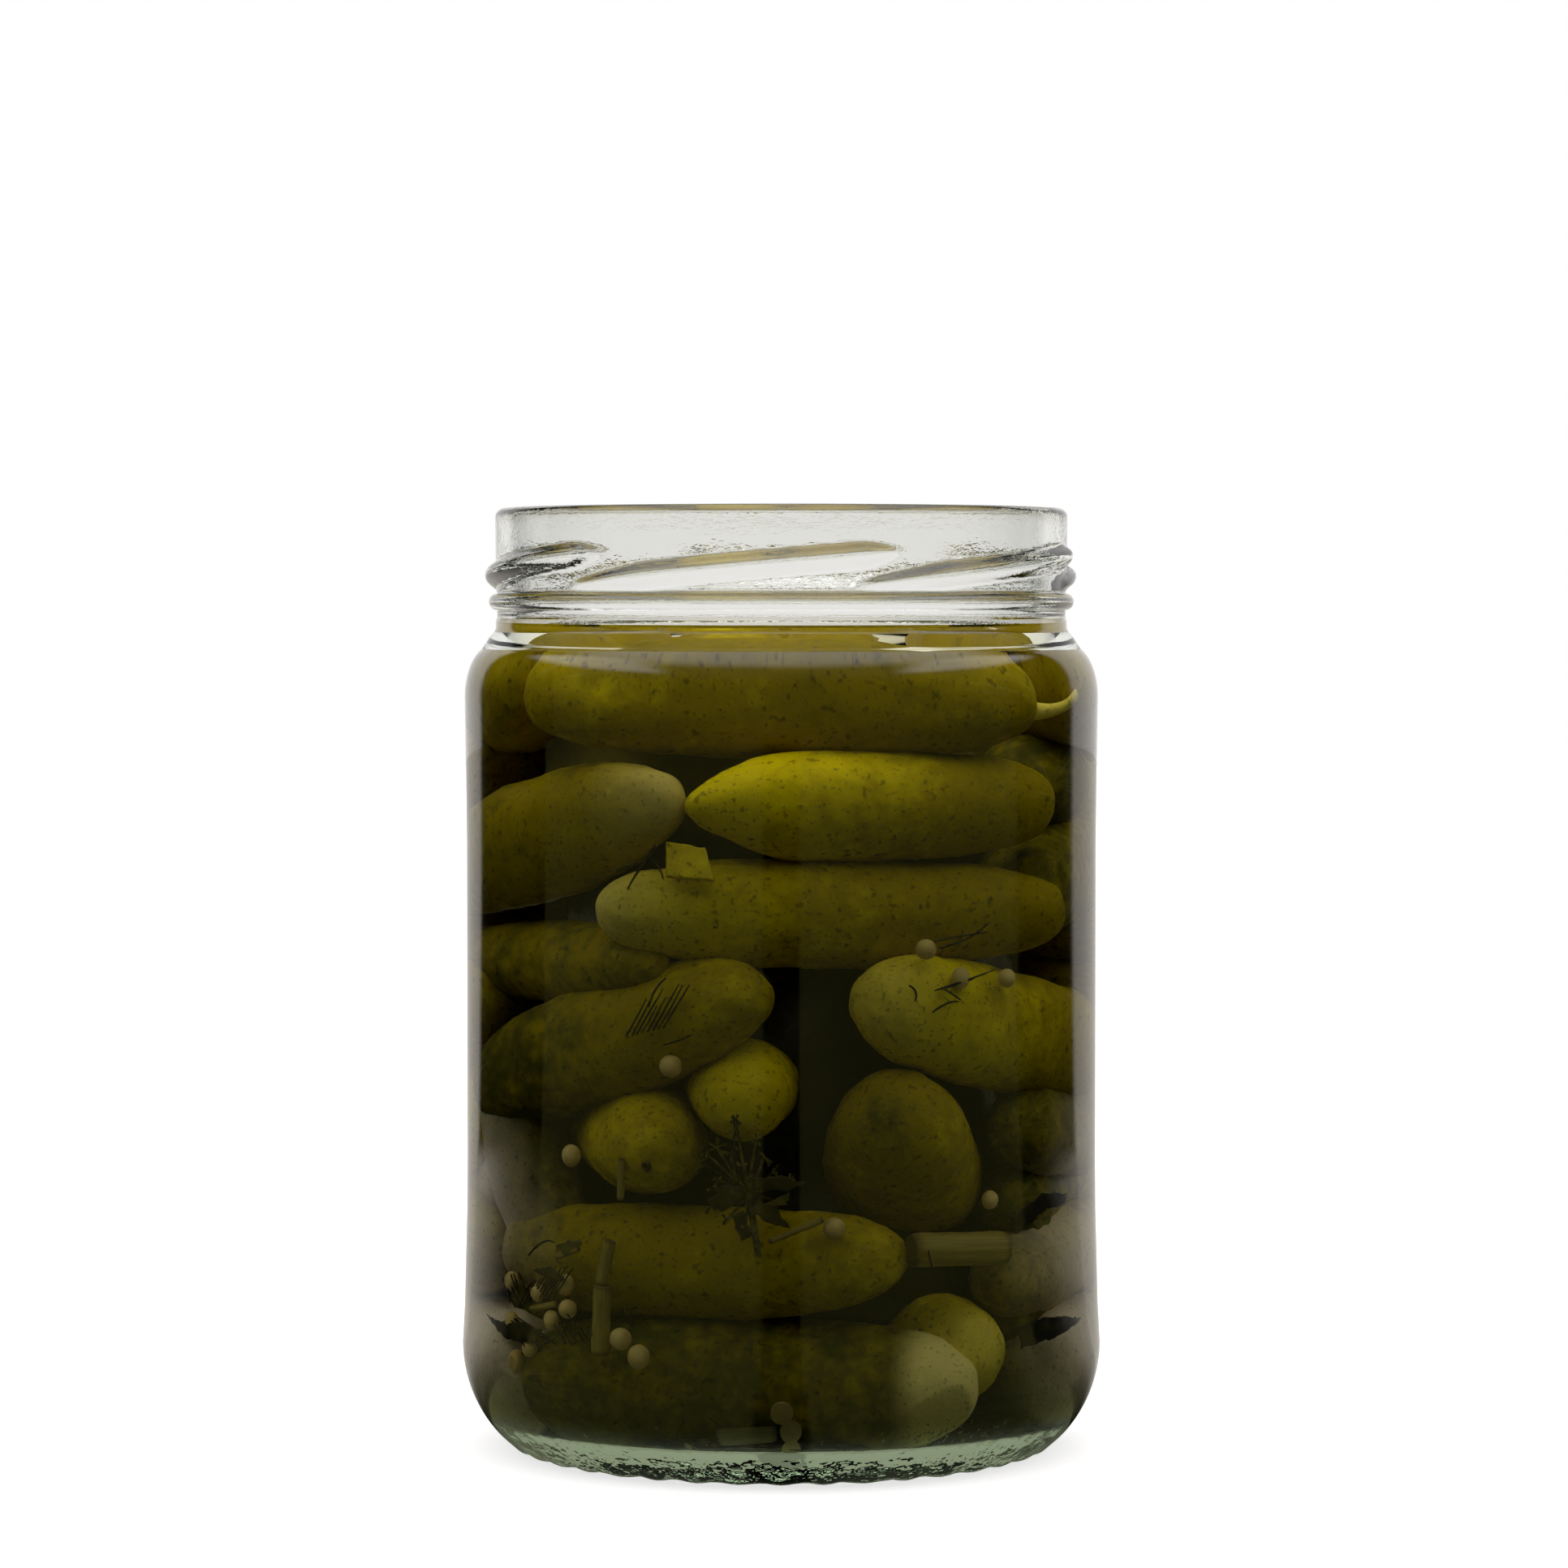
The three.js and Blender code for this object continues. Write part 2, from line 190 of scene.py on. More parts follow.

# The gherkins that show from the front, row by row. Each runs between the centres of its round
# ends, given as an angle and a height in millimetres. bow pushes the middle out, sag lowers it,
# depth moves it in from the glass, taper narrows the start, and end_reach is how far the end lies
# from the jar's axis where the gherkin points inwards. tone runs from dark brown green to bright
# yellow green, at the start and at the end, and patches change it round a place. The pale start
# whitens the start, as bleached skin and on some gherkins as a painted highlight where that end is
# lit, and disc whitens the cut end. The painted reflection greys what lies low at the jar's sides:
# a reflection of the glass painted onto the skin.
FRONT_GHERKINS = [
    dict(start=(-48.5, 104.3), end=(48, 103.4), girth=7.7, bow=3, tone=(0.58, 0.42)),
    dict(start=(-75, 104.8), end=(-142, 104.6), girth=8.2, tone=(0.45, 0.5)),
    dict(start=(-31, 89.8), end=(-103, 80.5), girth=8.1, bow=3, tone=(0.5, 0.3), pale_start=0.5),
    dict(start=(-9, 90.2), end=(55, 89.8), girth=7.4, bow=1, taper=0.5, tone=(1, 0.5)),
    dict(start=(80, 92), end=(146, 91), girth=7.5, depth=3.6, taper=0.3, tone=(0.1, 0.3)),
    dict(start=(-29.5, 76.2), end=(60, 75.4), girth=7.3, bow=3, tone=(0.9, 0.45), pale_start=0.55),
    dict(start=(69, 78.6), end=(124, 83), girth=7.6, depth=1.5, tone=(0.2, 0.2)),
    dict(start=(-96, 67.4), end=(-33, 69), girth=5.6, depth=2.6, tone=(0.25, 0.3)),
    dict(start=(-13.5, 63.6), end=(-74, 52), girth=7.8, bow=1, tone=(0.62, 0.1)),
    dict(start=(28, 63), end=(87, 55.6), girth=8.4, bow=1, tone=(0.95, 0.5), pale_start=0.25),
    dict(start=(-29, 44.8), end=(-107, 46.5), end_reach=16.8, girth=8, tone=(0.72, 0.5)),
    dict(start=(-8.5, 51.4), end=(-38.6, 55), end_reach=6.4, girth=7, depth=1, tone=(0.9, 0.6)),
    dict(start=(27.5, 46.4), end=(52, 38.5), end_reach=18, girth=9.3, depth=0.4,
         tone=(0.62, 0.52), patches=[(18.5, 49.5, 6, -0.46), (24, 41, 4, -0.1)]),
    dict(start=(66, 45.5), end=(116, 43), girth=6.9, depth=2, tone=(0.15, 0.15), bloom=0.45),
    dict(start=(-76, 47), end=(-60, 31.5), girth=6.4, depth=2.5, tone=(0, 0.1), bloom=0.9),
    dict(start=(-57, 29.6), end=(14.7, 30.4), girth=7.7, sag=1.2, taper=0.15, tone=(0.3, 0.6),
         bloom=0.4),
    dict(start=(59, 25.6), end=(118, 27), girth=6.9, depth=2, tone=(0.25, 0.25), bloom=0.5),
    dict(start=(-48, 12.6), end=(29.5, 12.6), girth=8.8, depth=0, tone=(0.1, 0.16), disc=1),
    dict(start=(44, 16.4), end=(68, 14), end_reach=12, girth=7.8, depth=3.2, tone=(0.9, 0.8),
         pale_start=0.3),
    dict(start=(74, 12.8), end=(124, 13), girth=8.2, depth=2, tone=(0.05, 0.2), bloom=0.62),
    dict(start=(-66, 12.8), end=(-122, 13.2), girth=8.4, depth=0, tone=(0.2, 0.4), bloom=1),
]

# The ones behind them, layer by layer, each as two angles, two heights and a tone
BACK_GHERKINS = [
    (80, 142, 104.4, 104.4, 0.5),
    (-112, -176, 93, 89, 0.7),
    (-112, -160, 79, 76, 0.3),
    (171, 118, 74.5, 72, 0.8),
    (-92, -150, 61, 58, 0.6),
    (-168, 110, 59, 60, 0.4),
    (-92, -150, 45, 42, 0.8),
    (176, 130, 43, 45, 0.55),
    (-84, -140, 28.2, 27.4, 0.5),
    (-162, 142, 28, 29, 0.35),
    (-148, 144, 13, 13, 0.65),
]
BACK_GIRTH = 7.9
TAPER_LENGTH = 0.3

# Two more lie side by side across the middle of the top, from near the front to the back
TOP_GHERKINS = [
    dict(start=(-26, 105.2), end=(-164, 105), start_reach=17, end_reach=20, girth=8,
         tone=(0.7, 0.5)),
    dict(start=(30, 105), end=(163, 105.2), start_reach=17, end_reach=20, girth=8,
         tone=(0.5, 0.6)),
]

# One lies across the back of the top, and small ones deep in the gaps between rows at the sides
DEEP_GHERKINS = [
    dict(start=(160, 104.2), end=(-160, 104.4), girth=7.5, bow=1, tone=(0.5, 0.6)),
    dict(start=(66, 35.5), end=(128, 35), girth=5.6, depth=6, tone=(0.1, 0.2)),
    dict(start=(-80, 37.6), end=(-132, 36.5), girth=5.2, depth=4, tone=(0.2, 0.3), bloom=0.6),
    dict(start=(-68, 21.4), end=(-122, 21), girth=5.2, depth=7, tone=(0.05, 0.1)),
    dict(start=(66, 19.8), end=(122, 20), girth=5.2, depth=7, tone=(0.05, 0.1)),
]

# Mustard seeds, each at an angle, a height and a depth in from the glass, in millimetres
SEEDS = [
    (-60.5, 25.1, 0), (-51.9, 24.2, 0), (-45.1, 25.7, 0.6), (-43.7, 22.6, 0), (-48.2, 20.8, 0.2),
    (-60.5, 19.6, 0), (-54.4, 16.6, 0.2), (-58.6, 14.6, 0), (-31.4, 19.3, 0), (-27.5, 17.1, 0),
    (0.1, 10.6, 0.2), (1.9, 8.3, 0.6), (2.1, 5.9, 3.2), (-21, 55.9, 0), (-43.4, 43.2, 0.4),
    (9.9, 34.7, 0), (42.9, 37.3, 0.4), (27.9, 71.2, 0), (35.5, 67.2, 0), (47.5, 66.8, 0.6),
    (148, 41, 0), (171, 66, 0), (-128, 34, 0), (-160, 19, 0.4), (112, 22, 0), (96, 52, 0.3),
    (-104, 70, 0), (134, 83, 0),
]
SEED_RADIUS = 1.55

# Cut dill stalks: two ends, the girth in millimetres and how far in from the glass
STALKS = [
    dict(start=(28.5, 31.2), end=(45, 30.6), girth=2.3, depth=0.6),
    dict(start=(-33.9, 31.6), end=(-35.4, 27.2), girth=0.85, depth=0.6),
    dict(start=(-35.5, 25), end=(-35.8, 18.2), girth=1.3, depth=0.2),
    dict(start=(-11.5, 7.6), end=(-2.4, 8), girth=1.0, depth=0.3),
    dict(start=(-20, 6.2), end=(-16, 4.9), girth=0.5, depth=0.3),
    dict(start=(-41, 30.8), end=(-45.6, 29.6), girth=0.45, depth=0.4),
    dict(start=(-30.6, 43), end=(-30.8, 38.4), girth=0.5, depth=0.1),
    dict(start=(-53.4, 22), end=(-46.8, 23.1), girth=0.45, depth=0.8),
    dict(start=(7.2, 35.8), end=(-1.7, 33.2), girth=0.4, depth=0.2),
]
STALK_STEPS = (44, 30)
STALK_BLUNTNESS = 9
STALK_UNEVEN = 0.04
STALK_RIDGE = 0.02

# Single strands of dill that lie against the glass, each a chain of angles and heights
STRANDS = [
    [(-23.5, 85.2), (-24.6, 83.3), (-27.5, 81.4), (-29, 79.2)],
    [(-25.2, 83.7), (-22.4, 82.6), (-21.8, 80.6)],
    [(-26.4, 82.7), (-29, 82.5), (-31.6, 81.5)],
    [(-24.7, 63.7), (-23.8, 66.4), (-21.3, 67.6)],
    [(-21.9, 58.8), (-19, 59.3), (-16.5, 60.2)],
    [(-8.8, 49.8), (-8.1, 46.8)],
    [(-3.8, 68.8), (-1.4, 67.2)],
    [(-53.6, 29.2), (-49, 32.2), (-46.1, 31.5)],
    [(-48.4, 17.7), (-46, 18.4), (-43.5, 20)],
    [(-14, 10), (-11, 8.5)],
    [(-8.4, 47.6), (-8.9, 44.2), (-7.6, 41)],
    [(-14.6, 43.4), (-11.4, 42.2), (-8, 40.4)],
    [(23.8, 66.6), (25.9, 65.8), (25, 64.5)],
    [(28.6, 62.9), (31.4, 64.4), (34.2, 64.2)],
    [(30.4, 66.2), (33, 65.2), (34.6, 64.4)],
    [(29, 72.3), (35, 73), (40.8, 73.2)],
    [(30, 71.4), (37, 72.2), (41, 74.4)],
    [(27.7, 31.4), (28.6, 28.8)],
]
STRAND_GIRTH = 0.2

# Bunches of dill threads: the place of each, how far its threads reach up and sideways, how
# many there are and how far they fan out
BUNCHES = [
    dict(place=(-23.2, 63.4), rise=6.2, run=3.6, count=8, fan=5.4),
    dict(place=(-49, 25.4), rise=4.6, run=3.6, count=10, fan=7.0),
    dict(place=(-55, 18.6), rise=-2.6, run=7.5, count=8, fan=5.0),
    dict(place=(-42, 20.4), rise=3.8, run=-3.0, count=6, fan=5.0),
    dict(place=(36, 66.8), rise=1.2, run=6.0, count=5, fan=3.5),
    dict(place=(-58, 24), rise=-4.2, run=3.2, count=6, fan=4.0),
]

# The dill flower head: its hub, its stem, and its rays as an angle and a height to which each runs
UMBEL_HUB = (-6.2, 39.2, 2.2)
UMBEL_STEM = [UMBEL_HUB, (-5.2, 36, 1.4), (-4.2, 31, 1)]
UMBEL_STEM_GIRTHS = (0.55, 0.5, 0.45)
UMBEL_RAYS = [
    (-14.2, 44.6), (-12, 45.4), (-13.2, 37.6), (-8.4, 49.2), (-9.4, 44.6), (-5.4, 41.4),
    (-4.6, 46.4), (-1.6, 42.2), (1.4, 40.8), (-0.4, 37.8), (-11.6, 41.2), (-6.4, 34.6),
    (-10.2, 36), (-3, 44.2), (-12.6, 40.2), (-7.2, 43),
]

# Soaked leaf scraps, each an outline of angles and heights, dark or pale
LEAVES = [
    dict(outline=[(47.4, 34.6), (51.2, 36.1), (56.6, 37.4), (65.8, 36.8), (65, 35.4), (58, 35.1),
                  (53, 33.9), (48.5, 32.4)], dark=1.0),
    dict(outline=[(48.8, 20.1), (54.3, 20.5), (63, 20.2), (72.6, 18.9), (66, 18.2), (58.4, 17.5),
                  (49.3, 17)], dark=1.0),
    dict(outline=[(-69.6, 19.9), (-62.5, 19.2), (-56, 20), (-49, 19.4), (-51.5, 17.5),
                  (-60, 17.3), (-66, 18.7)], dark=0.8),
    dict(outline=[(-5.3, 41.3), (0, 41.9), (4.5, 40.8), (2, 39.9), (-4.8, 40)], dark=0.45),
    dict(outline=[(1.6, 39.7), (-0.6, 39), (-3.5, 37.9), (-1.6, 37.6), (1.4, 38.6)], dark=0.1),
    dict(outline=[(-13.4, 38.2), (-10.6, 40.6), (-6.4, 40.2), (-7.6, 38.2), (-11, 37)], dark=0.7),
    dict(outline=[(-4.4, 38.6), (-0.6, 37.4), (1.8, 34.8), (-2.6, 35.6), (-5.2, 37.2)], dark=0.62),
    dict(outline=[(-9, 36.6), (-6.8, 37), (-5.2, 34), (-7.4, 33.2)], dark=0.75),
    dict(outline=[(-46, 31), (-42.4, 32.2), (-39.2, 31.8), (-43.4, 30)], dark=0.35),
    dict(outline=[(-52.6, 27.4), (-47, 28.2), (-43.2, 26.6), (-48.2, 26.4)], dark=0.5),
    dict(outline=[(-30.2, 23.6), (-28.4, 22.6), (-28, 21.2), (-30, 21.8)], dark=1.0),
    dict(outline=[(53, 33.6), (60, 34.8), (59, 33.2), (54.5, 32.6)], dark=0.2),
]

# How far a leaf's edge is ragged, the size of its rags and its waves, and its thickness
LEAF_RAG = 0.3 * MM
LEAF_RAG_SIZE = 0.9 * MM
LEAF_WAVE_SIZE = 2.4 * MM
LEAF_THICKNESS = 0.22 * MM

# How many crumbs lie round the foot of the heap
CRUMBS = 260

# The flap of skin that has peeled off one gherkin, as angles, heights and depths from the glass
PEEL = [
    [(-22.7, 85.4, 3.4), (-18.4, 85, 2.6), (-14.3, 84.7, 2.2)],
    [(-22.1, 83.2, 2.2), (-17.8, 83.1, 1.4), (-13.2, 82.9, 1.2)],
    [(-21.5, 80.9, 1.0), (-17, 80.7, 0.4), (-12.3, 80.5, 0.3)],
]
PEEL_SEED = 5

# The stem left on the top gherkin, and the dried blossom end of another
STEM = [(50.5, 103.2, 6.2), (56, 102.4, 5), (61, 102.2, 3), (66.5, 102.8, 1.4), (70.5, 104.4, 0.9)]
STEM_GIRTHS = (2.6, 1.7, 1.0, 0.8, 0.75)
BLOSSOM_END = (-25.2, 42.6)

# The photograph's camera
CAMERA_DISTANCE = 0.730
CAMERA_HEIGHT = 0.1173
CAMERA_ASIDE = 0.00037
CAMERA_PITCH = 2.0
CAMERA_LENS = 120.8

# The studio's light, as the brightness of each part of the surroundings
BEHIND_LIGHT = 1.07
TOP_LIGHT = 2.45
SIDE_LIGHT = 3.0
FRONT_LIGHT = 0.12
FLOOR_FRONT = 0.12
FRONT_FILL = 0.2
FLOOR_SIDE = 0.6
FLOOR_BEHIND = 0.7
FLOOR_SEEN = 0.72
FLOOR_GLOW = 0.2
BEHIND_SKEW = 0.086

# Where each part of the surroundings fades, as parts of a direction
BEHIND_EDGE = (0.68, 0.75)
TOP_EDGE = (0.66, 0.88)
SIDE_EDGE = (0.55, 0.70)
SIDE_HEIGHT = (0.50, 0.62)
FRONT_EDGE = (0.03, -0.06)
LOW_EDGE = (0.40, 0.55)
FLOOR_FRONT_GAP = (0.10, 0.12)

# Where the floor's light fades, as distances from the jar's axis in metres
FLOOR_SIDE_REACH = (0.40, 0.46)
FLOOR_GLOW_REACH = (0.031, 0.040)
FLOOR_UNDER_EDGE = (0.044, 0.048)

# The light's tints
WHITE = (1, 1, 1)
STUDIO_TINT = (0.82, 0.80, 0.79)
LOW_TINT = (0.82, 0.80, 0.25)
FLOOR_BACK_TINT = (1, 0.95, 0.87)
FLOOR_FRONT_TINT = (1, 0.98, 0.3)
FLOOR_UNDER_TINT = (0.87, 1, 0.68)


def polar(angle, distance, height):
    """A point at an angle round the jar, a distance from its axis and a height."""
    turn = math.radians(angle)
    return Vector((distance * math.sin(turn), -distance * math.cos(turn), height))


def arc(radius, height, wide, tall, first, last, steps):
    """Points along part of an ellipse in radius and height, between two angles in degrees."""
    turns = np.radians(np.linspace(first, last, steps + 1))
    return [(radius + wide * math.cos(t), height + tall * math.sin(t)) for t in turns]


def beside_glass(angle, height, depth):
    """A point of the contents at an angle, and at a height and a depth in from the glass in mm."""
    return polar(angle, CAVITY_RADIUS - CLEARANCE - depth * MM, height * MM)


def straight(first, last, steps):
    """Points along a line, without its first."""
    return [
        (first[0] + (last[0] - first[0]) * k / steps, first[1] + (last[1] - first[1]) * k / steps)
        for k in range(1, steps + 1)
    ]


def outside_outline():
    """The outside of the glass as radius and height, from the axis under the base to the rim."""
    heel_radius = BULGE_RADIUS - HEEL_ROUND
    turn = math.radians(HEEL_TURN)
    meet_height = BULGE_HEIGHT - HEEL_ROUND * math.sin(turn)
    foot_round = meet_height / (1 - math.sin(turn))
    foot_radius = heel_radius + (HEEL_ROUND - foot_round) * math.cos(turn)
    in_foot = foot_radius - FOOT_WIDTH
    rim = (NECK_RADIUS - MOUTH_RADIUS) / 2
    collar = (COLLAR_RADIUS + 0.2 * MM, COLLAR_HEIGHT)
    bead = arc(COLLAR_RADIUS, BEAD_HEIGHT, BEAD_ROUND, BEAD_ROUND, -90, 90, 12)
    neck_foot = (COLLAR_RADIUS + 0.15 * MM, BEAD_HEIGHT + BEAD_ROUND + 0.5 * MM)
    neck_top = (NECK_RADIUS, HEIGHT - rim)
    rows = round((neck_top[1] - neck_foot[1]) / LUG_ROW)
    shoulder = arc(
        BAND_RADIUS - SHOULDER_RUN, SHOULDER_HEIGHT, SHOULDER_RUN, SHOULDER_RISE, 0, 66, 14
    )
    return [
        (0, PUSH_UP),
        *straight((0, PUSH_UP), (in_foot - 6 * MM, PUSH_UP * 0.8), 6),
        *straight((in_foot - 6 * MM, PUSH_UP * 0.8), (in_foot, 0), 6),
        *straight((in_foot, 0), (foot_radius, 0), 3),
        *arc(foot_radius, foot_round, foot_round, foot_round, -90, -HEEL_TURN, 6)[1:],
        *arc(heel_radius, BULGE_HEIGHT, HEEL_ROUND, HEEL_ROUND, -HEEL_TURN, 0, 18)[1:],
        (BAND_RADIUS + 0.15 * MM, 20 * MM),
        (BAND_RADIUS, 26 * MM),
        (BODY_RADIUS + 0.06 * MM, 33 * MM),
        (BODY_RADIUS, 40 * MM),
        (BODY_RADIUS, 62 * MM),
        (BODY_RADIUS, 84 * MM),
        (BODY_RADIUS + 0.1 * MM, 94 * MM),
        *shoulder,
        (COLLAR_RADIUS + 1.0 * MM, COLLAR_HEIGHT - 1.1 * MM),
        (COLLAR_RADIUS + 0.45 * MM, COLLAR_HEIGHT - 0.5 * MM),
        collar,
        (COLLAR_RADIUS + 0.16 * MM, COLLAR_HEIGHT + 1.2 * MM),
        (COLLAR_RADIUS, COLLAR_HEIGHT + 1.5 * MM),
        *bead,
        neck_foot,
        *straight(neck_foot, neck_top, rows),
        *arc(NECK_RADIUS - rim, HEIGHT - rim, rim, rim, 0, 90, 6)[1:],
    ]


def inside_outline():
    """The inside of the glass as radius and height, from the rim to the middle of the floor."""
    rim = (NECK_RADIUS - MOUTH_RADIUS) / 2
    run = CAVITY_RADIUS - MOUTH_RADIUS
    heel = CAVITY_RADIUS - CAVITY_HEEL
    return [
        *arc(MOUTH_RADIUS + rim, HEIGHT - rim, rim, rim, 90, 180, 6),
        *straight((MOUTH_RADIUS, HEIGHT - rim), (MOUTH_RADIUS, COLLAR_HEIGHT + 1 * MM), 8),
        *arc(MOUTH_RADIUS, SHOULDER_HEIGHT, run, SHOULDER_RISE, 72, 0, 14),
        *straight((CAVITY_RADIUS, SHOULDER_HEIGHT), (CAVITY_RADIUS, FLOOR_HEIGHT + CAVITY_HEEL), 6),
        *arc(heel, FLOOR_HEIGHT + CAVITY_HEEL, CAVITY_HEEL, CAVITY_HEEL, 0, -90, 16)[1:],
        *straight((heel, FLOOR_HEIGHT), (0, FLOOR_HEIGHT + FLOOR_CROWN), 6),
    ]


CAVITY_WALL = sorted(((h, r) for r, h in inside_outline() if r > 0), key=lambda p: p[0])
CAVITY_HEIGHTS = np.array([h for h, _ in CAVITY_WALL])
CAVITY_RADII = np.array([r for _, r in CAVITY_WALL])


def press_inside(places):
    """Moves points of the contents clear of the floor, the wall and the brine's surface."""
    places = places.copy()
    reach = np.hypot(places[:, 0], places[:, 1])
    flat = CAVITY_RADIUS - CAVITY_HEEL
    floor = FLOOR_HEIGHT + FLOOR_CROWN * np.clip(1 - reach / flat, 0, 1) + CLEARANCE
    places[:, 2] = np.clip(places[:, 2], floor, HEAP_TOP)
    low = np.interp(places[:, 2] - CLEARANCE, CAVITY_HEIGHTS, CAVITY_RADII)
    high = np.interp(places[:, 2] + CLEARANCE, CAVITY_HEIGHTS, CAVITY_RADII)
    limit = np.minimum(low, high) - CLEARANCE
    scale = np.minimum(1, limit / np.maximum(reach, 1e-9))
    places[:, 0] *= scale
    places[:, 1] *= scale
    return places


def only(piece):
    """Selects one object and makes it active."""
    bpy.ops.object.select_all(action="DESELECT")
    piece.select_set(True)
    bpy.context.view_layer.objects.active = piece


def named(name):
    """The object that an operator has just made, under its own name."""
    piece = bpy.context.object
    piece.name = name
    piece.data.name = name
    return piece


def primitive(name, add, **sizes):
    """A primitive that is added with nothing else selected, under its own name."""
    bpy.ops.object.select_all(action="DESELECT")
    add(**sizes)
    return named(name)


def edit_all():
    """Starts to edit the active mesh, with all of it selected."""
    bpy.ops.object.mode_set(mode="EDIT")
    bpy.ops.mesh.select_all(action="SELECT")


def leave_outward():
    """Turns the selected faces outwards and stops editing."""
    bpy.ops.mesh.normals_make_consistent(inside=False)
    bpy.ops.object.mode_set(mode="OBJECT")


def places_of(piece):
    """The vertices of a mesh as an array."""
    flat = np.empty(len(piece.data.vertices) * 3)
    piece.data.vertices.foreach_get("co", flat)
    return flat.reshape(-1, 3)


def set_places(piece, places):
    """Puts the vertices of a mesh at an array of places."""
    piece.data.vertices.foreach_set("co", np.ascontiguousarray(places, dtype=float).ravel())
    piece.data.update()


def smooth(piece):
    """Shades a piece smooth."""
    only(piece)
    bpy.ops.object.shade_smooth()


def settle(piece):
    """Presses a piece of the contents clear of the glass and shades it smooth."""
    set_places(piece, press_inside(places_of(piece)))
    smooth(piece)


def thicken(piece, thickness):
    """Gives a sheet its thickness, half to each side."""
    only(piece)
    skin = piece.modifiers.new("thickness", "SOLIDIFY")
    skin.thickness = thickness
    skin.offset = 0
    bpy.ops.object.modifier_apply(modifier=skin.name)


def joined(pieces, name):
    """Several objects as one under a new name."""
    bpy.ops.object.select_all(action="DESELECT")
    for piece in pieces:
        piece.select_set(True)
    bpy.context.view_layer.objects.active = pieces[0]
    bpy.ops.object.join()
    return named(name)


def store(piece, name, values):
    """Stores four numbers for each vertex under a name that the material reads."""
    marks = piece.data.color_attributes.new(name, "FLOAT_COLOR", "POINT")
    marks.data.foreach_set("color", values.ravel())


def store_wrap(piece, name, along, around):
    """Stores each vertex's place round and along a gherkin or a stalk."""
    wrap = (0.5 + 0.5 * np.cos(around), 0.5 + 0.5 * np.sin(around), along, np.ones_like(along))
    store(piece, name, np.stack(wrap, axis=1))


def wear(piece, material, node=None):
    """Gives a piece its material and its place in the frame."""
    piece.data.materials.clear()
    piece.data.materials.append(material)
    if node:
        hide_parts(node)
    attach(piece, "root")


def turned(name, outline, steps):
    """A closed body about the jar's axis: one vertex extruded along the outline, then spun."""
    piece = primitive(name, bpy.ops.mesh.primitive_plane_add, size=MM)
    edit_all()
    bpy.ops.mesh.merge(type="CENTER")
    radius, height = outline[0]
    bpy.ops.transform.translate(value=(0, -radius, height))
    for step_radius, step_height in outline[1:]:
        move = (0, radius - step_radius, step_height - height)
        bpy.ops.mesh.extrude_vertices_move(TRANSFORM_OT_translate={"value": move})
        radius, height = step_radius, step_height
    bpy.ops.mesh.select_all(action="SELECT")
    bpy.ops.mesh.spin(steps=steps, angle=math.tau, center=(0, 0, 0), axis=(0, 0, 1))
    bpy.ops.mesh.select_all(action="SELECT")
    bpy.ops.mesh.remove_doubles(threshold=MERGE)
    leave_outward()
    return piece


def new_material(name):
    """An empty node material with its output and its Principled shader."""
    material = bpy.data.materials.new(name)
    material.use_nodes = True
    shader = material.node_tree.nodes["Principled BSDF"]
    output = material.node_tree.nodes["Material Output"]
    return material, material.node_tree, shader, output


def set_inputs(tree, node, inputs):
    """Links or sets a node's inputs. Each takes a socket, a number, a vector or a colour."""
    for key, value in inputs.items():
        socket = node.inputs[key]
        if isinstance(value, bpy.types.NodeSocket):
            tree.links.new(value, socket)
        elif socket.type == "RGBA":
            socket.default_value = (*value, 1)
        else:
            socket.default_value = value


def add_node(tree, kind, inputs=None, **values):
    """A node with its properties and its inputs set."""
    made = tree.nodes.new(kind)
    for key, value in values.items():
        setattr(made, key, value)
    set_inputs(tree, made, inputs or {})
    return made


def calc(tree, operation, *values, clamp=False):
    """A calculation on sockets and numbers."""
    inputs = dict(enumerate(values))
    made = add_node(tree, "ShaderNodeMath", inputs, operation=operation, use_clamp=clamp)
    return made.outputs["Value"]


def noisy(tree, place, scale, detail, roughness=0.5):
    """Noise at a place."""
    inputs = {"Vector": place, "Scale": scale, "Detail": detail, "Roughness": roughness}
    return add_node(tree, "ShaderNodeTexNoise", inputs).outputs["Fac"]


def own_place(tree):
    """The piece's own coordinates."""
    return add_node(tree, "ShaderNodeTexCoord").outputs["Object"]


def split_vector(tree, vector):
    """The three parts of a vector."""
    return add_node(tree, "ShaderNodeSeparateXYZ", {"Vector": vector}).outputs


def mottle_group():
    """Soft blotches and fine specks on what has soaked in brine, as a node group."""
    name = "Soaked Mottle"
    if name in bpy.data.node_groups:
        return bpy.data.node_groups[name]
    group = bpy.data.node_groups.new(name, "ShaderNodeTree")
    new_socket = group.interface.new_socket
    new_socket("Vector", in_out="INPUT", socket_type="NodeSocketVector")
    for key, scale in (("Blotch Scale", 180), ("Speck Scale", 1100)):
        new_socket(key, in_out="INPUT", socket_type="NodeSocketFloat").default_value = scale
    for key in ("Blotches", "Specks", "Relief"):
        new_socket(key, in_out="OUTPUT", socket_type="NodeSocketFloat")
    enter = group.nodes.new("NodeGroupInput").outputs
    soft = noisy(group, enter["Vector"], enter["Blotch Scale"], 3)
    fine = noisy(group, enter["Vector"], enter["Speck Scale"], 2)
    results = {
        "Blotches": soft,
        "Specks": ramp(group, fine, *SPECK_EDGE, 0, 1),
        "Relief": calc(group, "MULTIPLY_ADD", fine, SPECK_RELIEF, soft),
    }
    add_node(group, "NodeGroupOutput", results)
    return group


def mottle(tree, blotch, speck):
    """The mottle group's outputs in a material, reading the piece's own coordinates."""
    inputs = {"Vector": own_place(tree), "Blotch Scale": blotch, "Speck Scale": speck}
    made = tree.nodes.new("ShaderNodeGroup")
    made.node_tree = mottle_group()
    set_inputs(tree, made, inputs)
    return made.outputs


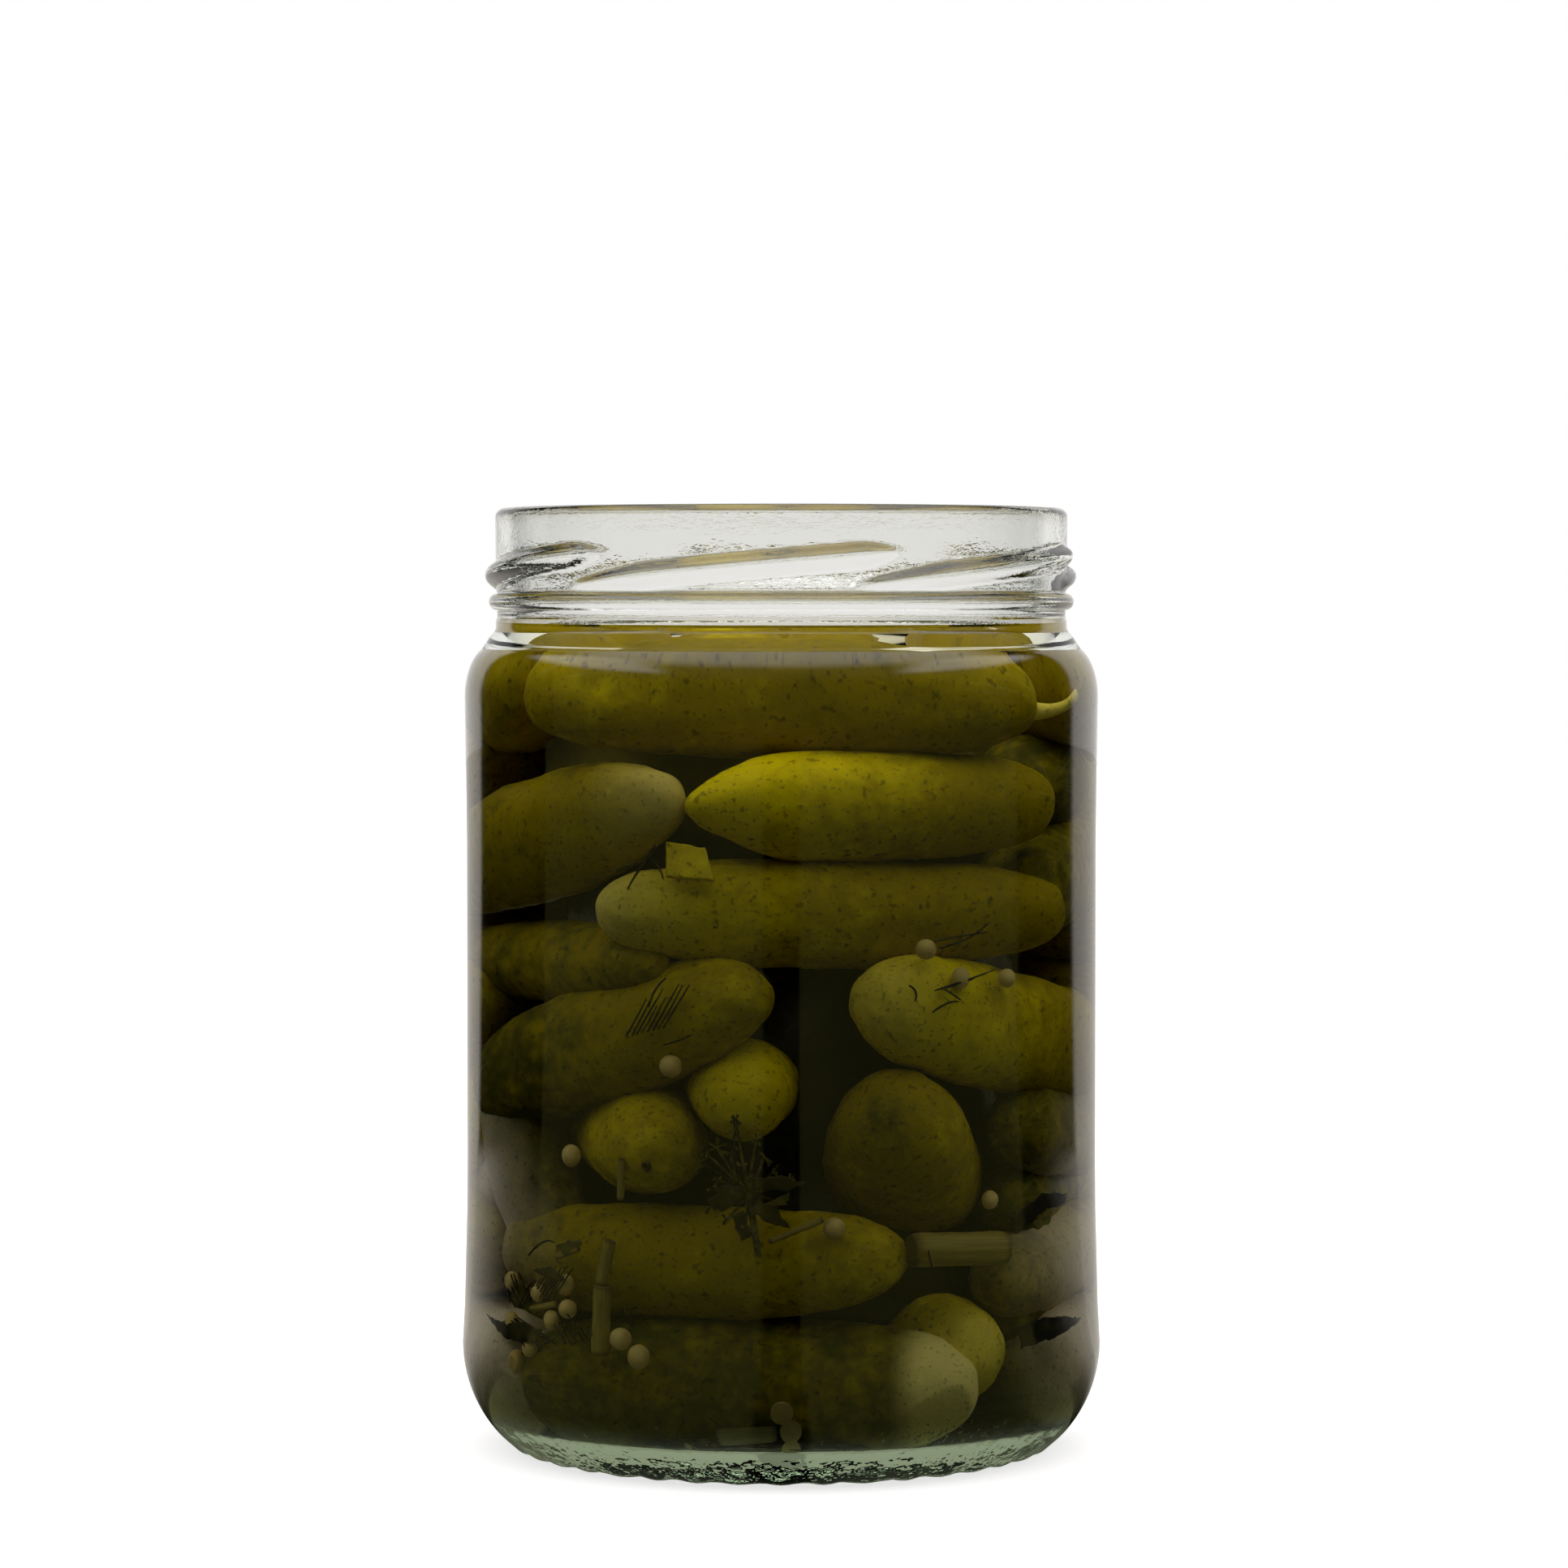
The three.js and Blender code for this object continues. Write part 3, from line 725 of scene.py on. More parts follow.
def blend(tree, factor, first, second):
    """Mixes two colours, each a socket or a plain colour, by a socket or a number."""
    inputs = {0: factor, 6: first, 7: second}
    return add_node(tree, "ShaderNodeMix", inputs, data_type="RGBA").outputs[2]


def ramp(tree, value, low, high, to_low, to_high, kind="SMOOTHSTEP"):
    """A step of a socket's value from one level to another, smooth unless its kind says not."""
    inputs = {
        "Value": value, "From Min": low, "From Max": high, "To Min": to_low, "To Max": to_high,
    }
    made = add_node(tree, "ShaderNodeMapRange", inputs, interpolation_type=kind)
    return made.outputs["Result"]


def skewed(tree, across, back):
    """How far a direction points behind the jar, with a little more room on the right."""
    return calc(tree, "MULTIPLY_ADD", across, BEHIND_SKEW, back)


def mirrored(tree, path):
    """Full where the glass mirrors the surroundings, little where they light the contents."""
    return ramp(tree, path["Diffuse Depth"], 0, 1, 1, FRONT_FILL)


def add_bump(tree, shader, height, strength, distance):
    """Relief on a shader from a height socket."""
    inputs = {"Height": height, "Strength": strength, "Distance": distance}
    bump = add_node(tree, "ShaderNodeBump", inputs)
    set_inputs(tree, shader, {"Normal": bump.outputs["Normal"]})


def coat(tree, shader, colour, roughness, gloss):
    """Gives a shader its colour and its gloss."""
    set_inputs(tree, shader, {"Base Color": colour, "Roughness": roughness, **gloss})


def fibres(tree, attribute, scale, detail):
    """Noise drawn out along a piece, and how far along it each place is."""
    marks = add_node(tree, "ShaderNodeAttribute", attribute_name=attribute).outputs["Color"]
    stretch = add_node(tree, "ShaderNodeMapping", {"Vector": marks, "Scale": scale})
    split = add_node(tree, "ShaderNodeSeparateColor", {"Color": marks})
    return noisy(tree, stretch.outputs["Vector"], 1, detail), split.outputs["Blue"]


def colour_setting(name, description, default):
    """A colour that the user can change."""
    return FloatVectorProperty(
        name=name, description=description, default=default, size=3, subtype="COLOR"
    )


class JarSettings(bpy.types.PropertyGroup):
    """The glass and the brine."""

    brine_level: FloatProperty(
        name="Brine level", description="Height of the brine's surface above the foot",
        default=113.3 * MM, unit="LENGTH",
    )
    glass_colour: colour_setting(
        "Glass tint", "Colour that thick glass takes", (0.58, 0.82, 0.50)
    )
    glass_density: FloatProperty(
        name="Tint depth", description="How fast the glass takes its tint, per metre",
        default=18.0,
    )
    brine_colour: colour_setting(
        "Brine tint", "Colour that deep brine takes", (0.97, 0.88, 0.25)
    )
    brine_density: FloatProperty(
        name="Brine depth", description="How fast the brine takes its tint, per metre",
        default=7.0,
    )


class ContentSettings(bpy.types.PropertyGroup):
    """The gherkins and what lies between them."""

    dark_skin: colour_setting(
        "Dark skin", "Skin of the darkest gherkins", (0.083, 0.076, 0.0045)
    )
    middle_skin: colour_setting(
        "Middle skin", "Skin of the gherkins halfway between dark and bright",
        (0.365, 0.270, 0.001),
    )
    bright_skin: colour_setting(
        "Bright skin", "Skin of the brightest gherkins", (0.74, 0.60, 0.001)
    )
    # Also paints the highlight on the lit pale ends of some gherkins
    pale_skin: colour_setting(
        "Pale ends", "Bleached skin where a gherkin's end is pale", (0.92, 0.79, 0.24)
    )
    # A grey reflection of the glass, painted onto the skin low at the jar's sides
    bloom_skin: colour_setting(
        "Painted reflection", "Greyish bloom on the skin of some gherkins", (0.84, 0.73, 0.52)
    )
    core_radius: FloatProperty(
        name="Core radius", description="Radius of the hidden middle of the heap",
        default=22.5 * MM, unit="LENGTH",
    )
    seed: IntProperty(
        name="Seed", description="Starts the small random differences between pieces", default=7,
    )


def clear_material(name, bend, wetted_bend, tint, density):
    """A clear body, with how much its surface refracts in the air and where it meets another.

    The faces that meet another clear body are marked with the attribute "wetted".
    """
    material, tree, shader, output = new_material(name)
    wetted = tree.nodes.new("ShaderNodeBsdfPrincipled")
    clear = {"Base Color": (1, 1, 1), "Roughness": 0, "Transmission Weight": 1}
    set_inputs(tree, shader, {**clear, "IOR": bend})
    set_inputs(tree, wetted, {**clear, "IOR": wetted_bend})
    marks = add_node(tree, "ShaderNodeAttribute", attribute_name="wetted")
    pick = add_node(tree, "ShaderNodeMixShader", {
        0: marks.outputs["Fac"], 1: shader.outputs["BSDF"], 2: wetted.outputs["BSDF"],
    })
    volume = add_node(tree, "ShaderNodeVolumeAbsorption", {"Color": tint, "Density": density})
    results = {"Surface": pick.outputs["Shader"], "Volume": volume.outputs["Volume"]}
    set_inputs(tree, output, results)
    return material, tree, shader


def mark_wetted(piece, test):
    """Marks the faces of a clear body that pass a test as meeting another."""
    marks = piece.data.attributes.new("wetted", "FLOAT", "FACE")
    marks.data.foreach_set("value", [float(test(face)) for face in piece.data.polygons])


def moulded_glass(settings):
    """The jar's glass, with the faint waves of its neck and the uneven stipple of its foot."""
    material, tree, shader = clear_material(
        "Clear glass", GLASS_BEND, GLASS_BEND / BRINE_BEND, settings.glass_colour,
        settings.glass_density,
    )
    place = own_place(tree)
    height = split_vector(tree, place)["Z"]
    stretch = add_node(tree, "ShaderNodeMapping", {"Vector": place, "Scale": WAVE_STRETCH})
    stipple = noisy(tree, place, STIPPLE_SCALE, 2)
    waves = noisy(tree, stretch.outputs["Vector"], WAVE_SCALE, 4, 0.8)
    low = calc(tree, "MULTIPLY", ramp(tree, height, *STIPPLE_EDGE, 1, 0), stipple)
    high = calc(tree, "MULTIPLY", ramp(tree, height, *WAVE_EDGE, 0, 1), waves)
    add_bump(tree, shader, calc(tree, "MULTIPLY_ADD", high, WAVE_SHARE, low), 1, 0.3 * MM)
    return material


def lug_height(angles, heights):
    """How far the thread stands out of the neck at arrays of angles and heights."""
    out = np.zeros_like(angles)
    for k in range(LUG_COUNT):
        along = ((angles - LUG_START - 360 * k / LUG_COUNT) % 360) / LUG_SWEEP
        inside = along < 1
        swell = np.clip(np.minimum(0.25 + 3 * along, 0.25 + 8 * (1 - along)), 0, 1)
        crest = LUG_LOW + (LUG_HIGH - LUG_LOW) * np.clip(along, 0, 1) ** 0.8
        offset = heights - crest
        spread = np.where(offset > 0, LUG_ABOVE, LUG_BELOW) * swell
        side = np.clip(np.abs(offset) / np.maximum(spread, 1e-9), 0, 1)
        ends = np.clip(np.minimum(along / 0.05, (1 - along) / 0.03), 0, 1)
        rise = LUG_PROUD * swell * (1 - side**2.2) * np.sin(ends * math.pi / 2)
        out = np.maximum(out, np.where(inside, rise, 0))
    return out


class GHERKINJAR_OT_glass(bpy.types.Operator):
    """Make the glass jar with its thread, bead, heel and knurled foot"""

    bl_idname = "gherkinjar.glass"
    bl_label = "Glass"

    def execute(self, context):
        settings = context.scene.gherkin_jar
        piece = turned("glass_jar", outside_outline() + inside_outline()[1:], TURN_STEPS)
        places = places_of(piece)
        reach = np.hypot(places[:, 0], places[:, 1])
        angles = np.degrees(np.arctan2(places[:, 0], -places[:, 1]))
        heights = places[:, 2]
        on_neck = (reach > NECK_RADIUS - 0.4 * MM) & (heights > BEAD_HEIGHT + BEAD_ROUND)
        out = np.where(on_neck, lug_height(angles, heights), 0)
        scale = 1 + out / np.maximum(reach, 1e-9)
        places[:, 0] *= scale
        places[:, 1] *= scale
        low = np.clip(1 - heights / KNURL_REACH, 0, 1)
        turn = np.floor(angles % 360 / 360 * KNURLS + 0.5)
        uneven = 0.75 + 0.25 * np.sin(turn % KNURLS * 2.4)
        hollow = (0.5 - 0.5 * np.cos(np.radians(angles) * KNURLS)) * uneven
        places[:, 2] += KNURL_DEPTH * hollow * low * (reach > CAVITY_RADIUS * 0.7)
        set_places(piece, places)
        smooth(piece)
        wear(piece, moulded_glass(settings), "jar_glass")

        def wetted(face):
            centre = face.center
            inner = math.hypot(centre.x, centre.y) < CAVITY_RADIUS + 0.05 * MM
            facing_in = face.normal.x * centre.x + face.normal.y * centre.y < 0
            floor = centre.z > FLOOR_HEIGHT - MM and face.normal.z > 0.5
            return inner and (facing_in or floor) and centre.z < settings.brine_level

        mark_wetted(piece, wetted)
        return {"FINISHED"}


class GHERKINJAR_OT_brine(bpy.types.Operator):
    """Fill the jar with brine that reaches just into the wall"""

    bl_idname = "gherkinjar.brine"
    bl_label = "Brine"

    def execute(self, context):
        settings = context.scene.gherkin_jar
        level = settings.brine_level
        wall = [p for p in reversed(inside_outline()) if p[1] < level - 1.2 * MM]
        outline = [(r + BRINE_OVERLAP if r > 0 else 0, h - BRINE_OVERLAP) for r, h in wall]
        edge = MOUTH_RADIUS + BRINE_OVERLAP
        outline += [(edge - inward, level + rise) for inward, rise in MENISCUS]
        outline.append((0, level))
        piece = turned("brine", outline, TURN_STEPS)
        smooth(piece)
        material, _, _ = clear_material(
            "Brine", BRINE_BEND, 1.0, settings.brine_colour, settings.brine_density
        )
        wear(piece, material)
        mark_wetted(piece, lambda face: face.center.z < level - 0.2 * MM)
        return {"FINISHED"}


def spine_of(piece):
    """The three control points of a gherkin's or stalk's curve, in metres."""
    girth = piece["girth"]
    reach = CAVITY_RADIUS / MM - CLEARANCE / MM - girth - piece.get("depth", 0)
    near = piece.get("start_reach", reach)
    far = piece.get("end_reach", reach)
    first = polar(piece["start"][0], near, piece["start"][1])
    last = polar(piece["end"][0], far, piece["end"][1])
    chord = (last - first).normalized()
    first -= chord * girth
    last += chord * girth
    middle = (first + last) / 2
    outward = Vector((middle.x, middle.y, 0)).normalized()
    middle += outward * 2 * piece.get("bow", 0)
    middle.z -= 2 * piece.get("sag", 0)
    return [np.array(p) * MM for p in (first, middle, last)]


def along_spine(spine, along):
    """Points and unit tangents of a three-point curve at an array of parameters."""
    a, b, c = spine
    t = along[:, None]
    points = (1 - t) ** 2 * a + 2 * t * (1 - t) * b + t**2 * c
    tangents = 2 * (1 - t) * (b - a) + 2 * t * (c - b)
    return points, tangents / np.linalg.norm(tangents, axis=1)[:, None]


def body_along(name, piece, sides, rings, bluntness, uneven, draw):
    """A sphere drawn out along a spine into a gherkin, with its girth uneven as a real one's is."""
    ball = bpy.ops.mesh.primitive_uv_sphere_add
    made = primitive(name, ball, segments=sides, ring_count=rings, radius=1)
    unit = places_of(made)
    pole = np.clip(unit[:, 2], -1, 1)
    shifted = np.sign(pole) * np.abs(pole) ** (2 / bluntness)
    around = np.arctan2(unit[:, 1], unit[:, 0])
    along = (1 - shifted) / 2
    radius = np.maximum(0, 1 - np.abs(shifted) ** bluntness) ** (1 / bluntness)
    phase = draw.uniform(0, math.tau)
    sway = draw.uniform(0, math.tau)
    swell = 1 + uneven * (0.6 * np.sin(5 * along + sway) + 0.5 * np.cos(3 * around + phase))
    swell += piece.get("ridge", 0) * np.cos(11 * around)
    taper = 1 - piece.get("taper", 0) * np.clip(1 - along / TAPER_LENGTH, 0, 1) ** 2
    radius *= piece["girth"] * MM * swell * taper
    points, tangents = along_spine(spine_of(piece), along)
    chord = tangents.mean(axis=0)
    level = abs(chord[2]) < 0.7 * np.linalg.norm(chord)
    reference = np.array([0, 0, 1.0]) if level else np.array([0, 1.0, 0])
    side = np.cross(tangents, reference)
    side /= np.linalg.norm(side, axis=1)[:, None]
    up = np.cross(side, tangents)
    points += radius[:, None] * (np.cos(around)[:, None] * side + np.sin(around)[:, None] * up)
    set_places(made, points)
    return made, along, around


def ripple(made, draw, steps):
    """Raises low bumps of several sizes along a piece's normals."""
    places = places_of(made)
    normals = np.empty(len(places) * 3)
    made.data.vertices.foreach_get("normal", normals)
    normals = normals.reshape(-1, 3)
    shift = Vector([draw.uniform(-5, 5) for _ in range(3)])
    for size, height in steps:
        lift = np.array([noise.noise(Vector(p) / size + shift) for p in places])
        places += normals * (lift * height)[:, None]
    set_places(made, places)


def end_lines(tree):
    """Faint pale lines that run along a gherkin towards its ends."""
    streaks, along = fibres(tree, "lines", (19, 19, 7), 2)
    start = ramp(tree, along, 0.03, 0.24, LINE_SHARE, 0)
    end = ramp(tree, along, 0.76, 0.97, 0, LINE_SHARE)
    near = calc(tree, "MAXIMUM", start, end)
    return calc(tree, "MULTIPLY", near, ramp(tree, streaks, 0.5, 0.68, 0, 1))


def skin_material(settings):
    """Wet olive skin: tone, pale ends, partly a painted highlight, the painted reflection of the
    glass and specks from the piece's own attribute and mottling.
    """
    material, tree, shader, _ = new_material("Gherkin skin")
    marks = add_node(tree, "ShaderNodeAttribute", attribute_name="skin")
    split = add_node(tree, "ShaderNodeSeparateColor", {"Color": marks.outputs["Color"]})
    # Red holds the tone, Green the pale ends, partly a painted highlight, and Blue the painted
    # reflection of the glass
    tone, pale, bloom = split.outputs["Red"], split.outputs["Green"], split.outputs["Blue"]
    soaked = mottle(tree, *SKIN_COARSE)
    close = mottle(tree, *SKIN_FINE)
    for cover, reach in ((soaked, COARSE_REACH), (close, FINE_REACH)):
        spread = ramp(tree, cover["Blotches"], 0.3, 0.7, -reach, reach, kind="LINEAR")
        tone = calc(tree, "ADD", tone, spread, clamp=True)
    lower, upper = ramp(tree, tone, 0, 0.5, 0, 1), ramp(tree, tone, 0.5, 1, 0, 1)
    colour = blend(tree, lower, settings.dark_skin, settings.middle_skin)
    covered = calc(tree, "ADD", pale, bloom, clamp=True)
    spots = calc(tree, "MULTIPLY", soaked["Specks"], ramp(tree, covered, 0, 0.6, 0.5, 0.08))
    for share, over in (
        (upper, settings.bright_skin),
        (pale, settings.pale_skin),
        (bloom, settings.bloom_skin),
        (end_lines(tree), settings.pale_skin),
        (ramp(tree, close["Specks"], 0, 1, 0, 0.45), GRAIN_BROWN),
        (spots, SPOT_BROWN),
    ):
        colour = blend(tree, share, colour, over)
    coat(tree, shader, colour, 0.42, SKIN_GLOSS)
    add_bump(tree, shader, soaked["Relief"], 0.5, 0.6 * MM)
    return material


def back_gherkins():
    """The gherkins behind the front ones. Each takes the shorter way round between its angles."""
    made = []
    for first, last, low, high, tone in BACK_GHERKINS:
        ends = dict(start=(first, low), end=(last, high))
        made.append(dict(**ends, girth=BACK_GIRTH, bow=2, tone=(tone, tone)))
    return made


class GHERKINJAR_OT_gherkins(bpy.types.Operator):
    """Pack the gherkins into the jar, each one pressed inside the glass"""

    bl_idname = "gherkinjar.gherkins"
    bl_label = "Gherkins"

    def execute(self, context):
        settings = context.scene.gherkin_contents
        material = skin_material(settings)
        every = FRONT_GHERKINS + back_gherkins() + TOP_GHERKINS + DEEP_GHERKINS
        for number, piece in enumerate(every):
            draw = random.Random(settings.seed * 100 + number)
            fine = 1 if number < len(FRONT_GHERKINS) else HIDDEN_DETAIL
            sides, rings = (round(count * fine) for count in GHERKIN_STEPS)
            name = f"gherkin_{number + 1:02d}"
            made, along, around = body_along(
                name, piece, sides, rings, GHERKIN_BLUNTNESS, GHERKIN_UNEVEN, draw
            )
            ripple(made, draw, GHERKIN_BUMPS)
            settle(made)
            self.paint(made, piece, along)
            store_wrap(made, "lines", along, around)
            wear(made, material, "gherkin_heap")
        return {"FINISHED"}

    def paint(self, made, piece, along):
        """Stores the gherkin's tone, its pale ends, partly a painted highlight, and the painted
        reflection of the glass low at the jar's sides.
        """
        places = places_of(made)
        # Pale start: bleached skin at the end, and on some gherkins a painted highlight where that
        # end is lit
        start = np.clip(1 - along / PALE_LENGTH, 0, 1) ** 1.5 * piece.get("pale_start", 0)
        values = np.ones((len(along), 4))
        values[:, 0] = np.interp(along, (0.15, 0.7), piece["tone"])
        for angle, height, wide, change in piece.get("patches", ()):
            apart = places - np.array(beside_glass(angle, height, 1))
            values[:, 0] += change * np.exp(-((apart**2).sum(axis=1)) / (wide * MM) ** 2)
        step = np.clip((along - 0.82) / 0.08, 0, 1)
        disc = step**2 * (3 - 2 * step) * piece.get("disc", 0)
        values[:, 1] = np.minimum(start + disc, 1)
        # Painted reflection: a grey reflection of the glass painted onto the skin by angle from the
        # front and by height, low at the jar's sides
        heights = places[:, 2] / MM
        aside = np.abs(np.degrees(np.arctan2(places[:, 0], -places[:, 1])))
        haze = np.clip((aside - np.interp(heights, *BLOOM_START)) / BLOOM_RISE, 0, 1)
        round_fade = np.clip((BLOOM_END - aside) / 30, 0, 1)
        high_fade = np.clip((BLOOM_TOP - heights) / 4, 0, 1)
        values[:, 2] = piece.get("bloom", 0) * haze * round_fade * high_fade
        store(made, "skin", values)


class GHERKINJAR_OT_core(bpy.types.Operator):
    """Fill the hidden middle of the heap"""

    bl_idname = "gherkinjar.core"
    bl_label = "Heap core"

    def execute(self, context):
        settings = context.scene.gherkin_contents
        edge = settings.core_radius - CORE_ROUND
        low = FLOOR_HEIGHT + FLOOR_CROWN + CLEARANCE
        bottom, top = low + CORE_ROUND, HEAP_TOP - CORE_BELOW_TOP - CORE_ROUND
        outline = [(0, low)]
        outline += arc(edge, bottom, CORE_ROUND, CORE_ROUND, -90, 0, 6)
        outline += straight((edge + CORE_ROUND, bottom), (edge + CORE_ROUND, top), 40)
        outline += arc(edge, top, CORE_ROUND, CORE_ROUND, 0, 90, 6)[1:]
        outline.append((0, top + CORE_ROUND))
        piece = turned("heap_core", outline, 96)
        ripple(piece, random.Random(settings.seed), CORE_BUMPS)
        smooth(piece)
        wear(piece, self.material(), "gherkin_heap")
        return {"FINISHED"}

    def material(self):
        """Painted shade, near black where it shows between the gherkins, and painted light, lighter
        at its top where it shows from above.
        """
        material, tree, shader, _ = new_material("Shaded middle")
        soaked = mottle(tree, 120, 700)
        deep = blend(tree, soaked["Blotches"], *CORE_DEEP)
        light = blend(tree, soaked["Blotches"], *CORE_OPEN)
        high = ramp(tree, split_vector(tree, own_place(tree))["Z"], *CORE_OPEN_EDGE, 0, 1)
        coat(tree, shader, blend(tree, high, deep, light), 0.6, SEED_GLOSS)
        add_bump(tree, shader, soaked["Relief"], 0.5, 1 * MM)
        return material


class GHERKINJAR_OT_seeds(bpy.types.Operator):
    """Scatter the mustard seeds against the glass"""

    bl_idname = "gherkinjar.seeds"
    bl_label = "Mustard seeds"

    def execute(self, context):
        draw = random.Random(context.scene.gherkin_contents.seed + 1)
        made = []
        for number, (angle, height, depth) in enumerate(SEEDS):
            radius = SEED_RADIUS * draw.uniform(0.88, 1.08) * MM
            centre = polar(angle, CAVITY_RADIUS - CLEARANCE - radius - depth * MM, height * MM)
            made.append(primitive(
                f"seed_{number + 1:02d}", bpy.ops.mesh.primitive_uv_sphere_add,
                segments=28, ring_count=18, radius=radius, location=centre,
            ))
            squash = (draw.uniform(0.84, 1), draw.uniform(0.84, 1), draw.uniform(0.9, 1))
            edit_all()
            bpy.ops.transform.resize(value=squash)
            bpy.ops.object.mode_set(mode="OBJECT")
            bpy.ops.object.transform_apply(location=True, rotation=True, scale=True)
        piece = joined(made, "mustard_seeds")
        settle(piece)
        material, tree, shader, _ = new_material("Mustard seed coat")
        soaked = mottle(tree, 400, 2500)
        colour = blend(tree, soaked["Blotches"], *SEED_COAT)
        coat(tree, shader, colour, 0.5, SEED_GLOSS)
        add_bump(tree, shader, soaked["Relief"], 0.3, 0.1 * MM)
        wear(piece, material, "gherkin_heap")
        return {"FINISHED"}


def threads(name, paths):
    """Round threads as one mesh. Each path is a list of points and a girth for each of them."""
    bpy.ops.object.select_all(action="DESELECT")
    bpy.ops.curve.primitive_bezier_curve_add()
    curve = bpy.context.object.data
    curve.splines.clear()
    curve.bevel_depth = 1
    curve.bevel_resolution = 1
    curve.use_fill_caps = True
    for points, girths in paths:
        line = curve.splines.new("NURBS")
        line.points.add(len(points) - 1)
        for spot, point, girth in zip(line.points, points, girths):
            spot.co = (*point, 1)
            spot.radius = girth * MM
        line.use_endpoint_u = True
        line.order_u = min(4, len(points))
        line.resolution_u = 5
    bpy.ops.object.convert(target="MESH")
    piece = named(name)
    settle(piece)
    return piece


def herb_material(name, look=None):
    """Soaked herb: blotches between a dark and a pale colour, of its own unless given."""
    material, tree, shader, _ = new_material(name)
    dark, pale, scale = look or HERBS[name]
    soaked = mottle(tree, scale, scale * 5)
    spread = ramp(tree, soaked["Blotches"], 0.35, 0.65, 0, 1)
    coat(tree, shader, blend(tree, spread, dark, pale), 0.5, HERB_GLOSS)
    add_bump(tree, shader, soaked["Relief"], 0.4, 0.2 * MM)
    return material


class GHERKINJAR_OT_stalks(bpy.types.Operator):
    """Lay the cut dill stalks against the glass"""

    bl_idname = "gherkinjar.stalks"
    bl_label = "Dill stalks"

    def execute(self, context):
        draw = random.Random(context.scene.gherkin_contents.seed + 2)
        made = []
        for number, stalk in enumerate(STALKS):
            piece, along, around = body_along(
                f"stalk_{number + 1}", dict(stalk, ridge=STALK_RIDGE), *STALK_STEPS,
                STALK_BLUNTNESS, STALK_UNEVEN, draw,
            )
            settle(piece)
            store_wrap(piece, "fibre", along, around)
            made.append(piece)
        piece = joined(made, "dill_stalks")
        wear(piece, self.material(), "gherkin_heap")
        return {"FINISHED"}

    def material(self):
        """Pale olive stalk with fibres along it and darker cut ends."""
        material, tree, shader, _ = new_material("Cut stalk")
        grain, along = fibres(tree, "fibre", (16, 16, 1.5), 3)
        body = blend(tree, ramp(tree, grain, 0.3, 0.7, 0, 1), *STALK_BODY)
        end = ramp(tree, along, 0.90, 1.0, 0, 0.75)
        start = ramp(tree, along, 0.10, 0.0, 0, 0.75)
        colour = blend(tree, calc(tree, "ADD", end, start), body, STALK_CUT)
        coat(tree, shader, colour, 0.45, HERB_GLOSS)
        add_bump(tree, shader, grain, 0.4, 0.12 * MM)
        return material


class GHERKINJAR_OT_dill(bpy.types.Operator):
    """Lay dill strands, thread bunches and the flower head between the gherkins and the glass"""

    bl_idname = "gherkinjar.dill"
    bl_label = "Dill"

    def execute(self, context):
        settings = context.scene.gherkin_contents
        draw = random.Random(settings.seed + 3)
        single = [self.strand(chain) for chain in STRANDS]
        for bunch in BUNCHES:
            single += self.bunch(bunch, draw)
        piece = threads("dill_threads", single)
        dark = herb_material("Dark dill")
        wear(piece, dark, "gherkin_heap")
        rays = []
        for ray in UMBEL_RAYS:
            rays += self.ray(ray, draw)
        rays.append(([beside_glass(*spot) for spot in UMBEL_STEM], UMBEL_STEM_GIRTHS))
        piece = threads("dill_flower", rays)
        green = herb_material("Dill flower")
        wear(piece, green, "gherkin_heap")
        return {"FINISHED"}

    def strand(self, chain):
        """One strand along its chain, thinner at its ends."""
        points = [beside_glass(angle, height, 0.25) for angle, height in chain]
        girths = [STRAND_GIRTH] * len(points)
        girths[0] *= 0.6
        girths[-1] *= 0.5
        return points, girths

    def bunch(self, bunch, draw):
        """Threads that start side by side and run about the same way, each a little bent."""
        angle, height = bunch["place"]
        degree = math.degrees(1 / 40)
        made = []
        for k in range(bunch["count"]):
            spread = (k / max(1, bunch["count"] - 1) - 0.5) * bunch["fan"]
            across = draw.uniform(0.6, 1.1)
            start = (angle + (spread - bunch["run"] / 2) * degree, height - bunch["rise"] / 2)
            points = []
            for step in (0, 0.35, 0.7, 1):
                along = step * across
                bend = draw.uniform(-0.35, 0.35) * (step > 0)
                points.append(
                    beside_glass(
                        start[0] + (bunch["run"] * along + bend) * degree,
                        start[1] + bunch["rise"] * along + spread * 0.25 + bend,
                        0.3 + draw.uniform(0, 0.7),
                    )
                )
            made.append((points, (0.12, 0.17, 0.14, 0.07)))
        return made

    def ray(self, ray, draw):
        """A ray of the flower head with the tuft at its tip."""
        hub = beside_glass(*UMBEL_HUB)
        tip = beside_glass(*ray, 0.8 + draw.uniform(0, 1))
        middle = (hub + tip) / 2 + Vector([draw.uniform(-0.6, 0.6) * MM for _ in range(3)])
        made = [((hub, middle, tip), (0.3, 0.2, 0.14))]
        for _ in range(6):
            way = Vector([draw.uniform(-1, 1) for _ in range(3)]).normalized()
            end = tip + way * draw.uniform(0.5, 1.5) * MM
            made.append(((tip, (tip + end) / 2, end), (0.1, 0.13, 0.22)))
        return made


